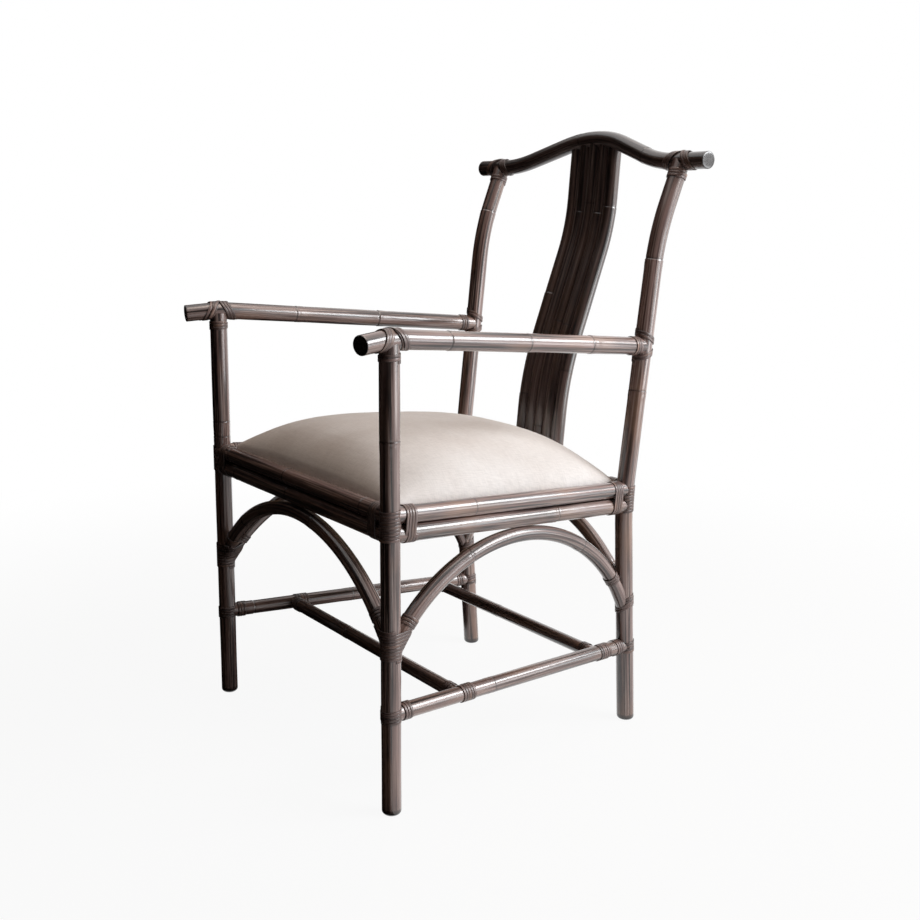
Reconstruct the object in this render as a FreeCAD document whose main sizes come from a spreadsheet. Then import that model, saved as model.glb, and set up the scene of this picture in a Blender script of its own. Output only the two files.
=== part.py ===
import FreeCAD, Part
import math
import os
from FreeCAD import Placement, Rotation, Vector

# An armchair of bent rattan poles: round legs, doubled seat rails, arched braces, an H of
# stretchers, a five-pole splat and a humped crest rail. Each pole end is coped over the pole
# that carries it, held by a screw or a dowel, and bound with flat strips of rattan peel.
# Frame: millimetres, +Z up, the chair faces -Y, +X is the sitter's left, and the origin lies
# on the floor below the middle of the chair's box.

os.makedirs("parts", exist_ok=True)
doc = FreeCAD.newDocument("Armchair")
sheet = doc.addObject("Spreadsheet::Sheet", "Dimensions")

DRIVING_DIMENSIONS = (
    ("front_leg_spacing", 534.0, "front leg axis to front leg axis"),
    ("rear_foot_spacing", 437.0, "rear post axes at the floor"),
    ("rear_top_spacing", 460.0, "rear post axes at the crest rail"),
    ("seat_depth", 479.0, "front leg axis to the knee of the rear post"),
    ("leg_diameter", 28.6, "front legs"),
    ("post_diameter", 28.6, "rear posts"),
    ("foot_rounding", 6.0, "rounded lower edge of all four feet"),
    ("rear_foot_set_back", 24.0, "rear foot behind the knee"),
    ("knee_height", 383.0, "where the raked foot turns into the leaning back"),
    ("knee_radius", 500.0, "bend of the rear post at the seat"),
    ("post_lean", 6.72, "degrees back from upright above the knee"),
    ("post_bend_height", 808.0, "where the post turns further back"),
    ("post_bend_radius", 400.0, "bend of the post below the crest rail"),
    ("post_top_lean", 22.0, "degrees back from upright at the crest rail"),
    ("crest_diameter", 28.0, "crest rail"),
    ("crest_height", 924.5, "crest rail axis over the posts"),
    ("crest_overhang", 56.5, "crest rail beyond each post axis"),
    ("crest_shoulder", 180.0, "half distance between the shoulders of the hump"),
    ("crest_slope", 20.3, "degrees of the straight flank of the hump"),
    ("crest_bend_radius", 207.0, "bends of the crest rail"),
    ("crest_tilt", 33.5, "degrees the plane of the hump leans back"),
    ("arm_diameter", 28.0, "arm rails"),
    ("leg_lip", 4.7, "coped lip of the front leg below the arm's axis"),
    ("arm_front_height", 681.0, "arm axis over the front leg"),
    ("arm_rear_height", 634.0, "arm axis at the rear post"),
    ("arm_nose_length", 53.5, "arm beyond the front leg axis"),
    ("arm_nose_flare", 13.7, "outward turn of the arm nose"),
    ("arm_nose_drop", 4.0, "downward turn of the arm nose"),
    ("arm_bend_radius", 200.0, "bend of the arm over the front leg"),
    ("rail_diameter", 26.0, "doubled seat rails"),
    ("rail_gap", 0.2, "between the two rails of a pair"),
    ("front_rail_height", 425.3, "middle of the rail pair at the front legs"),
    ("rear_rail_height", 389.4, "middle of the rail pair at the rear posts"),
    ("arch_diameter", 23.0, "arched braces"),
    ("arch_gap", 0.9, "arch crown below the lower rail"),
    ("front_arch_foot", 251.0, "front arch axis at the front leg axes"),
    ("side_arch_foot_front", 239.0, "side arch axis at the front leg axis"),
    ("side_arch_foot_rear", 193.0, "side arch axis at the rear post axis"),
    ("rear_arch_foot", 211.0, "rear arch axis at the rear post axes"),
    ("stretcher_diameter", 24.0, "side stretchers"),
    ("stretcher_front_height", 150.0, "side stretcher axis at the front leg"),
    ("stretcher_rear_height", 132.6, "side stretcher axis at the rear post"),
    ("cross_diameter", 21.6, "cross stretchers"),
    ("front_cross_place", 126.0, "front cross stretcher behind the front leg axes"),
    ("rear_cross_place", 58.0, "rear cross stretcher in front of the knees of the rear posts"),
    ("splat_diameter", 23.4, "one pole of the splat"),
    ("splat_gap", 0.2, "between the poles of the splat"),
    ("splat_foot_lean", 5.7, "degrees back from upright at the seat"),
    ("splat_top_lean", 4.8, "degrees back from upright at the crest rail"),
    ("splat_lower_bend_height", 566.0, "where the splat turns back"),
    ("splat_upper_bend_height", 819.0, "where the splat turns up again"),
    ("splat_lower_bend_radius", 520.0, "bend of the splat above the seat"),
    ("splat_upper_bend_radius", 365.0, "bend of the splat below the crest rail"),
    ("screw_length", 60.0, "frame screws"),
    ("screw_diameter", 4.0, "frame screw shank"),
    ("screw_head_diameter", 8.0, "countersunk head"),
    ("screw_head_height", 3.0, "countersunk head"),
    ("screw_sink", 1.0, "head below the pole's surface"),
    ("screw_stagger", 3.6, "offset that lets crossing screws pass"),
    ("dowel_diameter", 6.0, "dowels of the splat"),
    ("dowel_length", 30.0, "half in the rail, half in the pole"),
    ("board_thickness", 12.0, "plywood seat board"),
    ("seat_clearance", 3.5, "board edge to the rails"),
    ("foam_edge_height", 18.0, "cushion at the edge of the board"),
    ("foam_crown", 80.0, "rise of the cushion from edge to middle"),
    ("foam_end_rise", 10.0, "rise of the cushion across its front and rear edges"),
    ("foam_draw_in", 4.0, "sides of the cushion drawn in between the corners"),
    ("foam_side_bulge", 4.0, "roundness of the cushion's sides"),
    ("cover_thickness", 1.5, "seat cover cloth"),
    ("brace_thickness", 22.0, "corner braces that carry the board"),
    ("brace_near", 46.0, "near edge of a brace along the rails from the leg axis"),
    ("brace_far", 96.0, "far edge of a brace along the rails from the leg axis"),
    ("brace_gap", 0.2, "brace to the rails"),
    ("brace_screw_length", 35.0, "screws from a brace into the rails"),
    ("seat_screw_length", 30.0, "screws from a brace into the board"),
    ("strip_width", 4.3, "binding strip on the pole"),
    ("strip_outer_width", 3.1, "outer face of a wound strip, whose edges are rounded off"),
    ("strip_thickness", 1.1, "binding strip"),
    ("strip_pitch", 4.9, "from one turn of a binding to the next"),
    ("strip_clearance", 0.25, "binding to the pole"),
    ("binding_stand_off", 1.7, "edge of the first turn beyond the pole that carries the joint"),
)


def fill_sheet():
    """Write each driving dimension to its own aliased cell."""
    for row, (alias, number, meaning) in enumerate(DRIVING_DIMENSIONS, start=1):
        cell = "B%d" % row
        sheet.set("A%d" % row, meaning)
        sheet.set(cell, str(number))
        sheet.setAlias(cell, alias)
    doc.recompute()


def dim(alias):
    """Value of one cell of the sheet."""
    return float(getattr(sheet, alias))


def rad(alias):
    """Value of an angle cell, in radians."""
    return math.radians(dim(alias))


fill_sheet()
SIDES = {"left": 1, "right": -1}
SPLAT_POLES = 5
LEG_BAND_TURNS = {"seat": 10, "arch": 8, "stretcher": 4}
RAIL_TURNS = 4
POLE_TURNS = 3
CROSS_TUCKED_STRIPS = 2
BELOW_FLOOR = 20.0
nodes = {}
carriers = {}


def unit(vector):
    """Copy of a vector at length one."""
    return Vector(vector).normalize()


# Paths of bent poles

BEND_SHARE = 0.96


def bend_room(points, index):
    """Longest tangent run that a bend at one inner point can have; two bends share the run between them."""
    before = (points[index] - points[index - 1]).Length
    after = (points[index + 1] - points[index]).Length
    if index > 1:
        before = before / 2
    if index < len(points) - 2:
        after = after / 2
    return BEND_SHARE * min(before, after)


def bent_path(points, radii):
    """Wire of straight runs through the points, with a tangent arc at each inner point.

    A bend is tighter than its radius only where its runs are too short for it.
    """
    edges = []
    start = points[0]
    for index, wanted_radius in enumerate(radii, start=1):
        corner = points[index]
        towards = unit(points[index - 1] - corner)
        onwards = unit(points[index + 1] - corner)
        half_turn = (math.pi - towards.getAngle(onwards)) / 2
        radius = min(wanted_radius, bend_room(points, index) / math.tan(half_turn))
        run = radius * math.tan(half_turn)
        arc_start = corner + towards * run
        arc_end = corner + onwards * run
        inward = unit(towards + onwards)
        middle = corner + inward * (radius / math.cos(half_turn) - radius)
        edges.append(Part.makeLine(start, arc_start))
        edges.append(Part.Arc(arc_start, middle, arc_end).toShape())
        start = arc_end
    edges.append(Part.makeLine(start, points[-1]))
    return Part.Wire(edges)


def at_height(path, height):
    """Point of a path at one height."""
    reach = 2 * dim("crest_height")
    level = Part.makePlane(2 * reach, 2 * reach, Vector(-reach, -reach, height))
    return path.distToShape(level)[1][0][0]


def path_tangent(path, point):
    """Direction of a path, from its start to its end, at the point nearest to the given one."""
    nearest = min(path.Edges, key=lambda edge: edge.distToShape(Part.Vertex(point))[0])
    return nearest.tangentAt(nearest.Curve.parameter(point))


# Document objects of poles

def add_straight_pole(name, start, end, diameter_alias):
    """Cylinder from start to end, its radius bound to a cell."""
    pole = doc.addObject("Part::Cylinder", name)
    pole.setExpression("Radius", "Dimensions.%s / 2" % diameter_alias)
    pole.Height = (end - start).Length
    pole.Placement = Placement(start, Rotation(Vector(0, 0, 1), end - start))
    return pole


def add_bent_pole(name, path, diameter_alias):
    """Circle swept along a wire, its radius bound to a cell."""
    spine = doc.addObject("Part::Feature", name + "_path")
    spine.Shape = path
    first = path.OrderedEdges[0]
    direction = first.tangentAt(first.FirstParameter)
    section = doc.addObject("Part::Circle", name + "_section")
    section.setExpression("Radius", "Dimensions.%s / 2" % diameter_alias)
    section.Placement = Placement(path.OrderedVertexes[0].Point, Rotation(Vector(0, 0, 1), direction))
    pole = doc.addObject("Part::Sweep", name)
    pole.Sections = [section]
    pole.Spine = (spine, ["Edge%d" % (index + 1) for index in range(len(path.Edges))])
    pole.Solid = True
    pole.Frenet = False
    return pole


def add_cut(name, base, tool):
    """Base minus tool as a boolean object."""
    result = doc.addObject("Part::Cut", name)
    result.Base = base
    result.Tool = tool
    return result


def add_group(name, members):
    """Compound of objects that don't overlap, to use as one cutting tool."""
    group = doc.addObject("Part::Compound", name)
    group.Links = members
    return group


def add_shape(name, shape):
    """Plain feature around a shape worked out here."""
    feature = doc.addObject("Part::Feature", name)
    feature.Shape = shape
    return feature


def add_node(name, feature):
    """Enter a finished sub-part under its node name."""
    feature.Label = name
    nodes[name] = feature


# Places of the main joints, from the driving dimensions

half_front = dim("front_leg_spacing") / 2
half_rear_foot = dim("rear_foot_spacing") / 2
half_rear_top = dim("rear_top_spacing") / 2
half_crest = half_rear_top + dim("crest_overhang")
leg_radius = dim("leg_diameter") / 2
post_radius = dim("post_diameter") / 2
rail_radius = dim("rail_diameter") / 2
arch_radius = dim("arch_diameter") / 2
arm_radius = dim("arm_diameter") / 2
crest_radius = dim("crest_diameter") / 2
stretcher_radius = dim("stretcher_diameter") / 2
cross_radius = dim("cross_diameter") / 2
splat_radius = dim("splat_diameter") / 2
rail_offset = rail_radius + dim("rail_gap") / 2

# Setbacks behind the knee, then the shift that centres the chair's box on the origin
bend_set_back = (dim("post_bend_height") - dim("knee_height")) * math.tan(rad("post_lean"))
top_rise = dim("crest_height") - dim("post_bend_height")
crest_set_back = bend_set_back + top_rise * math.tan(rad("post_top_lean"))
flank_rise = dim("crest_shoulder") * math.tan(rad("crest_slope"))
hump = flank_rise - dim("crest_bend_radius") * (1 / math.cos(rad("crest_slope")) - 1)
peak_set_back = crest_set_back + hump * math.sin(rad("crest_tilt"))
nose = Vector(dim("arm_nose_flare"), -dim("arm_nose_length"), -dim("arm_nose_drop"))
nose_lip = arm_radius * math.sqrt(1 - unit(nose).y ** 2)
back_reach = dim("seat_depth") + peak_set_back + crest_radius
front_reach = dim("arm_nose_length") + nose_lip
front_y = (front_reach - back_reach) / 2
rear_y = front_y + dim("seat_depth")


def post_x(height):
    """Distance of a rear post's axis from the middle plane at one height."""
    share = height / dim("crest_height")
    return half_rear_foot + (half_rear_top - half_rear_foot) * share


def post_corner(side, set_back, height):
    """Corner point of a rear post's path."""
    return Vector(side * post_x(height), rear_y + set_back, height)


def post_path(side):
    """Rear post: raked foot, knee at the seat, leaning back, and a bend below the crest."""
    knee_height = dim("knee_height")
    rake = dim("rear_foot_set_back") / knee_height
    below = dim("rear_foot_set_back") + rake * BELOW_FLOOR
    points = [
        post_corner(side, below, -BELOW_FLOOR),
        post_corner(side, 0.0, knee_height),
        post_corner(side, bend_set_back, dim("post_bend_height")),
        post_corner(side, crest_set_back, dim("crest_height")),
    ]
    return bent_path(points, [dim("knee_radius"), dim("post_bend_radius")])


post_paths = {name: post_path(side) for name, side in SIDES.items()}
up = Vector(0, 0, 1)
across = Vector(1, 0, 0)


def leg_axis(name, height):
    """Point of a front leg's axis."""
    return Vector(SIDES[name] * half_front, front_y, height)


def post_axis(name, height):
    """Point of a rear post's axis."""
    return at_height(post_paths[name], height)


# Front legs and rear posts

def make_blank_legs():
    """Front legs as plain cylinders and rear posts as bent poles sawn level at the floor."""
    reach = dim("front_leg_spacing")
    floor = doc.addObject("Part::Box", "floor_block")
    floor.Length = 2 * reach
    floor.Width = 3 * reach
    floor.Height = 2 * BELOW_FLOOR
    floor.Placement = Placement(Vector(-reach, front_y - reach, -2 * BELOW_FLOOR), Rotation())
    for name in SIDES:
        top = leg_axis(name, dim("arm_front_height") - dim("leg_lip"))
        leg = add_straight_pole("front_leg_%s_blank" % name, leg_axis(name, 0), top, "leg_diameter")
        carriers["front_leg_" + name] = leg
        post = add_bent_pole("rear_post_%s_bent" % name, post_paths[name], "post_diameter")
        carriers["rear_post_" + name] = add_cut("rear_post_%s_blank" % name, post, floor)


make_blank_legs()

# Arm rails and crest rail


def arm_path(name):
    """Arm rail from the rear post over the front leg to its flared nose."""
    side = SIDES[name]
    over_leg = leg_axis(name, dim("arm_front_height"))
    tip = over_leg + Vector(side * nose.x, nose.y, nose.z)
    return bent_path([post_axis(name, dim("arm_rear_height")), over_leg, tip], [dim("arm_bend_radius")])


arm_paths = {name: arm_path(name) for name in SIDES}


def crest_point(x, rise):
    """Point of the crest rail's plane, which leans back by the crest's tilt."""
    lean = rad("crest_tilt")
    y = rear_y + crest_set_back + rise * math.sin(lean)
    return Vector(x, y, dim("crest_height") + rise * math.cos(lean))


def make_crest_path():
    """Crest rail: level ends, two shoulders and the rounded hump between them."""
    points = [
        crest_point(-half_crest, 0),
        crest_point(-dim("crest_shoulder"), 0),
        crest_point(0, flank_rise),
        crest_point(dim("crest_shoulder"), 0),
        crest_point(half_crest, 0),
    ]
    return bent_path(points, [dim("crest_bend_radius")] * 3)


crest_path = make_crest_path()
carriers["crest_rail"] = add_bent_pole("crest_rail_blank", crest_path, "crest_diameter")
for name in SIDES:
    carriers["arm_rail_" + name] = add_bent_pole("arm_rail_%s_blank" % name, arm_paths[name], "arm_diameter")

# Seat rails in stacked pairs, arched braces below them, stretchers


def rail_ends(place, level):
    """Axis ends of one seat rail; level is +1 for the upper rail and -1 for the lower one."""
    front = dim("front_rail_height")
    rear = dim("rear_rail_height")
    lift = up * (level * rail_offset)
    if place == "front":
        return leg_axis("right", front) + lift, leg_axis("left", front) + lift
    if place == "rear":
        return post_axis("right", rear) + lift, post_axis("left", rear) + lift
    return leg_axis(place, front) + lift, post_axis(place, rear) + lift


RAIL_LEVELS = {"upper": 1, "lower": -1}
RAIL_PLACES = ("front", "rear", "left", "right")


def rail_end_names(place):
    """Names of the two uprights that a rail, arch or stretcher runs between."""
    if place == "front":
        return "front_leg_right", "front_leg_left"
    if place == "rear":
        return "rear_post_right", "rear_post_left"
    return "front_leg_" + place, "rear_post_" + place


def arch_path(place):
    """Circular arc from upright to upright that touches the lower rail at its crown."""
    if place == "front":
        foot = dim("front_arch_foot")
        start, end = leg_axis("right", foot), leg_axis("left", foot)
    elif place == "rear":
        foot = dim("rear_arch_foot")
        start, end = post_axis("right", foot), post_axis("left", foot)
    else:
        start = leg_axis(place, dim("side_arch_foot_front"))
        end = post_axis(place, dim("side_arch_foot_rear"))
    rail_start, rail_end = rail_ends(place, -1)
    along = unit(rail_end - rail_start)
    level = unit(along.cross(up))
    down = unit(along.cross(level))
    drop = rail_radius + dim("arch_gap") + arch_radius
    crown = (rail_start + rail_end) * 0.5 + down * drop
    return Part.Wire([Part.Arc(start, crown, end).toShape()])


def stretcher_ends(name):
    """Axis ends of one side stretcher."""
    front = leg_axis(name, dim("stretcher_front_height"))
    return front, post_axis(name, dim("stretcher_rear_height"))


CROSS_DEPTHS = {
    "front": dim("front_cross_place"),
    "rear": dim("seat_depth") - dim("rear_cross_place"),
}


def cross_ends(place):
    """Axis ends of one cross stretcher, on the axes of the side stretchers."""
    ends = []
    for name in ("right", "left"):
        front, rear = stretcher_ends(name)
        share = CROSS_DEPTHS[place] / (rear.y - front.y)
        ends.append(front + (rear - front) * share)
    return ends


arch_paths = {place: arch_path(place) for place in RAIL_PLACES}
for place in RAIL_PLACES:
    for level_name, level in RAIL_LEVELS.items():
        start, end = rail_ends(place, level)
        rail_name = "seat_rail_%s_%s" % (place, level_name)
        carriers[rail_name] = add_straight_pole(rail_name + "_blank", start, end, "rail_diameter")
    carriers["arch_brace_" + place] = add_bent_pole("arch_brace_%s_blank" % place, arch_paths[place],
                                                    "arch_diameter")
for name in SIDES:
    start, end = stretcher_ends(name)
    carriers["side_stretcher_" + name] = add_straight_pole("side_stretcher_%s_blank" % name, start, end,
                                                           "stretcher_diameter")
for place in CROSS_DEPTHS:
    start, end = cross_ends(place)
    carriers["cross_stretcher_" + place] = add_straight_pole("cross_stretcher_%s_blank" % place, start, end,
                                                             "cross_diameter")

# Splat of upright poles between the rear upper rail and the crest rail


def splat_x(number):
    """Place of a splat pole across the back, counted from the sitter's right."""
    middle = (SPLAT_POLES + 1) / 2
    return (number - middle) * (dim("splat_diameter") + dim("splat_gap"))


def crest_at(x):
    """Point of the crest rail's axis at one place across the back."""
    reach = 2 * dim("crest_height")
    corners = [Vector(x, y, z) for y, z in ((-reach, 0), (reach, 0), (reach, reach), (-reach, reach))]
    wall = Part.Face(Part.makePolygon(corners + corners[:1]))
    return crest_path.distToShape(wall)[1][0][0]


def splat_path(number):
    """One splat pole: upright at the seat, leaning back in the middle, upright at the crest."""
    x = splat_x(number)
    rail_start, rail_end = rail_ends("rear", 1)
    foot = Vector(x, rail_start.y, rail_start.z)
    head = crest_at(x)
    low = dim("splat_lower_bend_height")
    high = dim("splat_upper_bend_height")
    lower = Vector(x, foot.y + (low - foot.z) * math.tan(rad("splat_foot_lean")), low)
    upper = Vector(x, crest_at(0).y - (head.z - high) * math.tan(rad("splat_top_lean")), high)
    head.y = crest_at(0).y
    radii = [dim("splat_lower_bend_radius"), dim("splat_upper_bend_radius")]
    return bent_path([foot, lower, upper, head], radii)


splat_paths = {number: splat_path(number) for number in range(1, SPLAT_POLES + 1)}
for number, path in splat_paths.items():
    splat_name = "splat_pole_%d" % number
    carriers[splat_name] = add_bent_pole(splat_name + "_blank", path, "splat_diameter")
doc.recompute()

# Screws and dowels, and the bores that they leave in the poles


def add_screw_pattern(name, length_alias, sink):
    """Countersunk screw pointing along +Z, with its head at z = 0 and a bore of depth sink above it."""
    head = doc.addObject("Part::Cone", name + "_head")
    head.setExpression("Radius1", "Dimensions.screw_head_diameter / 2")
    head.setExpression("Radius2", "Dimensions.screw_diameter / 2")
    head.setExpression("Height", "Dimensions.screw_head_height")
    shank = doc.addObject("Part::Cylinder", name + "_shank")
    shank.setExpression("Radius", "Dimensions.screw_diameter / 2")
    shank.setExpression("Height", "Dimensions." + length_alias)
    pieces = [head, shank]
    if sink:
        mouth = doc.addObject("Part::Cylinder", name + "_mouth")
        mouth.setExpression("Radius", "Dimensions.screw_head_diameter / 2")
        mouth.Height = sink
        mouth.Placement = Placement(Vector(0, 0, -sink), Rotation())
        pieces.append(mouth)
    pattern = doc.addObject("Part::MultiFuse", name)
    pattern.Shapes = pieces
    return pattern


SCREW_MOUTH = dim("post_diameter")
screw_pattern = add_screw_pattern("screw_pattern", "screw_length", 0)
bore_pattern = add_screw_pattern("bore_pattern", "screw_length", SCREW_MOUTH)
brace_screw_pattern = add_screw_pattern("brace_screw_pattern", "brace_screw_length", 0)
brace_bore_pattern = add_screw_pattern("brace_bore_pattern", "brace_screw_length", SCREW_MOUTH)
seat_screw_pattern = add_screw_pattern("seat_screw_pattern", "seat_screw_length", 0)
seat_bore_pattern = add_screw_pattern("seat_bore_pattern", "seat_screw_length", SCREW_MOUTH)
dowel_pattern = doc.addObject("Part::Cylinder", "dowel_pattern")
dowel_pattern.setExpression("Radius", "Dimensions.dowel_diameter / 2")
dowel_pattern.setExpression("Height", "Dimensions.dowel_length")
doc.recompute()


def placed(pattern, point, direction):
    """Copy of a pattern's shape that starts at a point and runs in a direction."""
    shape = pattern.Shape.copy()
    shape.Placement = Placement(point, Rotation(up, direction))
    return shape


frame_screws = []
splat_dowels = []
bores = {}


def add_bore(member, shape):
    """Keep a cutting shape for one pole."""
    bores.setdefault(member, []).append(shape)


def drive_screw(member, carrier, point, inward, carrier_radius, slant=1.0):
    """Screw through a carrier, from its far side, along the end of the member that butts on it."""
    head = point - inward * (carrier_radius / slant - dim("screw_sink"))
    frame_screws.append(placed(screw_pattern, head, inward))
    bore = placed(bore_pattern, head, inward)
    add_bore(member, bore)
    add_bore(carrier, bore)


def screw_rails():
    """Two screws for each rail; side rails are staggered from the front and rear ones."""
    for place in RAIL_PLACES:
        lift = dim("screw_stagger") if place in ("front", "rear") else -dim("screw_stagger")
        for level_name, level in RAIL_LEVELS.items():
            start, end = rail_ends(place, level)
            first, last = rail_end_names(place)
            inward = unit(end - start)
            radii = [leg_radius if "leg" in upright else post_radius for upright in (first, last)]
            rail_name = "seat_rail_%s_%s" % (place, level_name)
            drive_screw(rail_name, first, start + up * lift, inward, radii[0])
            drive_screw(rail_name, last, end + up * lift, inward * -1, radii[1])


def screw_arches():
    """Slanted screws along the ends of each arch."""
    for place in RAIL_PLACES:
        arc = arch_paths[place].Edges[0]
        first, last = rail_end_names(place)
        ends = ((first, arc.FirstParameter, 1), (last, arc.LastParameter, -1))
        for upright, parameter, sense in ends:
            radius = leg_radius if "leg" in upright else post_radius
            inward = arc.tangentAt(parameter) * sense
            slant = math.sqrt(1 - inward.z ** 2)
            drive_screw("arch_brace_" + place, upright, arc.valueAt(parameter), inward, radius, slant)


def screw_stretchers():
    """Side stretchers to the uprights, cross stretchers to the side stretchers."""
    for name in SIDES:
        start, end = stretcher_ends(name)
        inward = unit(end - start)
        stretcher = "side_stretcher_" + name
        drive_screw(stretcher, "front_leg_" + name, start, inward, leg_radius)
        drive_screw(stretcher, "rear_post_" + name, end, inward * -1, post_radius)
    for place in CROSS_DEPTHS:
        start, end = cross_ends(place)
        inward = unit(end - start)
        cross = "cross_stretcher_" + place
        drive_screw(cross, "side_stretcher_right", start, inward, stretcher_radius)
        drive_screw(cross, "side_stretcher_left", end, inward * -1, stretcher_radius)


def screw_back():
    """Arms onto the front legs and rear posts, crest rail onto the rear posts."""
    for name in SIDES:
        arm = "arm_rail_" + name
        drive_screw("front_leg_" + name, arm, leg_axis(name, dim("arm_front_height")), up * -1, arm_radius)
        rear_joint = post_axis(name, dim("arm_rear_height"))
        drive_screw(arm, "rear_post_" + name, rear_joint, path_tangent(arm_paths[name], rear_joint), post_radius)
        top = post_corner(SIDES[name], crest_set_back, dim("crest_height"))
        down = path_tangent(post_paths[name], top) * -1
        drive_screw("rear_post_" + name, "crest_rail", top, down, crest_radius)


def dowel_splat():
    """A dowel at each end of each splat pole, half in the pole and half in the rail."""
    half = dim("dowel_length") / 2
    for number, path in splat_paths.items():
        member = "splat_pole_%d" % number
        foot = path.OrderedVertexes[0].Point
        head = path.OrderedVertexes[-1].Point
        rise = path_tangent(path, foot)
        drop = path_tangent(path, head) * -1
        ends = (("seat_rail_rear_upper", foot, rise, rail_radius), ("crest_rail", head, drop, crest_radius))
        for carrier, point, inward, radius in ends:
            dowel = placed(dowel_pattern, point + inward * (radius - half), inward)
            splat_dowels.append(dowel)
            add_bore(member, dowel)
            add_bore(carrier, dowel)


screw_rails()
screw_arches()
screw_stretchers()
screw_back()
dowel_splat()

# Seat: a plywood board on four corner braces, foam and a cloth cover, all in the plane of the rails

seat_start = Vector(0, front_y, dim("front_rail_height"))
seat_end = Vector(0, rail_ends("rear", 1)[0].y, dim("rear_rail_height"))
seat_slope = math.atan2(seat_end.z - seat_start.z, seat_end.y - seat_start.y)
seat_length = (seat_end - seat_start).Length
seat_place = Placement(seat_start, Rotation(across, math.degrees(seat_slope)))
half_seat_front = half_front
half_seat_rear = rail_ends("rear", 1)[1].x
side_slant = math.atan2(half_seat_front - half_seat_rear, seat_length)
board_top = dim("board_thickness") / 2
board_under = -dim("board_thickness") / 2
edge_inset = rail_radius + dim("seat_clearance")
CUSHION_SHARES = (0.0, 0.03, 0.1, 0.22, 0.36, 0.5, 0.64, 0.78, 0.9, 0.97, 1.0)
CUSHION_FULLNESS = 3

# Stacked upright over a sloping plane, the lower rails sit a little further back in that plane
lower_rail_shift = -rail_offset * math.sin(seat_slope)


def half_width(depth, inset):
    """Half width of the seat at a depth behind the front rails, at an inset from the side rails' axes."""
    share = depth / seat_length
    half_axis = half_seat_front + (half_seat_rear - half_seat_front) * share
    return half_axis - inset / math.cos(side_slant)


def make_board():
    """Plywood board, a tapered sheet inside the rails."""
    near = edge_inset
    far = seat_length - edge_inset
    points = [
        Vector(-half_width(near, edge_inset), near, board_under),
        Vector(half_width(near, edge_inset), near, board_under),
        Vector(half_width(far, edge_inset), far, board_under),
        Vector(-half_width(far, edge_inset), far, board_under),
    ]
    sheet_face = Part.Face(Part.makePolygon(points + points[:1]))
    return sheet_face.extrude(Vector(0, 0, dim("board_thickness")))


def cushion_section(depth, share, grow):
    """Closed outline of the cushion across the seat: flat below, bulging sides and a domed top."""
    half = half_width(depth, edge_inset) + grow - dim("foam_draw_in") * math.sin(math.pi * share)
    edge = board_top + dim("foam_edge_height") + grow
    fullness = math.sqrt(1 - abs(2 * share - 1) ** CUSHION_FULLNESS)
    rise = dim("foam_end_rise") + (dim("foam_crown") - dim("foam_end_rise")) * fullness
    bulge = dim("foam_side_bulge")
    low_right = Vector(half - bulge, depth, board_top)
    side_right = Vector(half, depth, (board_top + edge) / 2)
    high_right = Vector(half - bulge, depth, edge)
    low_left = Vector(-low_right.x, depth, low_right.z)
    side_left = Vector(-side_right.x, depth, side_right.z)
    high_left = Vector(-high_right.x, depth, high_right.z)
    dome = Part.Ellipse(high_right, Vector(0, depth, edge + rise), Vector(0, depth, edge))
    return Part.Wire([
        Part.makeLine(low_left, low_right),
        Part.Arc(low_right, side_right, high_right).toShape(),
        Part.Arc(dome, 0, math.pi).toShape(),
        Part.Arc(high_left, side_left, low_left).toShape(),
    ])


def cushion_shape(grow):
    """Loft of the cushion's sections from the front rail to the rear rail."""
    near = edge_inset - grow
    far = seat_length - edge_inset + grow
    sections = [cushion_section(near + (far - near) * share, share, grow) for share in CUSHION_SHARES]
    return Part.makeLoft(sections, True, False)


def brace_corner(side, end, along_end, along_side):
    """Point of the seat plane near a corner, measured along both rails from the upright's axis."""
    inset = rail_radius + dim("brace_gap")
    if end == "front":
        depth = max(along_side, inset)
    else:
        depth = seat_length - max(along_side, inset)
    half = half_width(depth, inset)
    corner_half = half_width(0 if end == "front" else seat_length, 0)
    return Vector(side * min(half, corner_half - along_end), depth + lower_rail_shift, 0)


def make_brace(side, end):
    """Diagonal brace across a corner of the seat, under the board."""
    near = dim("brace_near")
    far = dim("brace_far")
    points = [
        brace_corner(side, end, near, 0),
        brace_corner(side, end, far, 0),
        brace_corner(side, end, 0, far),
        brace_corner(side, end, 0, near),
    ]
    low = Vector(0, 0, board_under - dim("brace_thickness"))
    points = [point + low for point in points]
    face = Part.Face(Part.makePolygon(points + points[:1]))
    return face.extrude(Vector(0, 0, dim("brace_thickness")))


def in_seat(shape):
    """Move a shape from the seat plane's own frame into the chair."""
    moved = shape.copy()
    moved.Placement = seat_place.multiply(moved.Placement)
    return moved


braces = []
brace_screws = []
brace_bores = []
seat_screws = []
seat_bores = []


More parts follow.
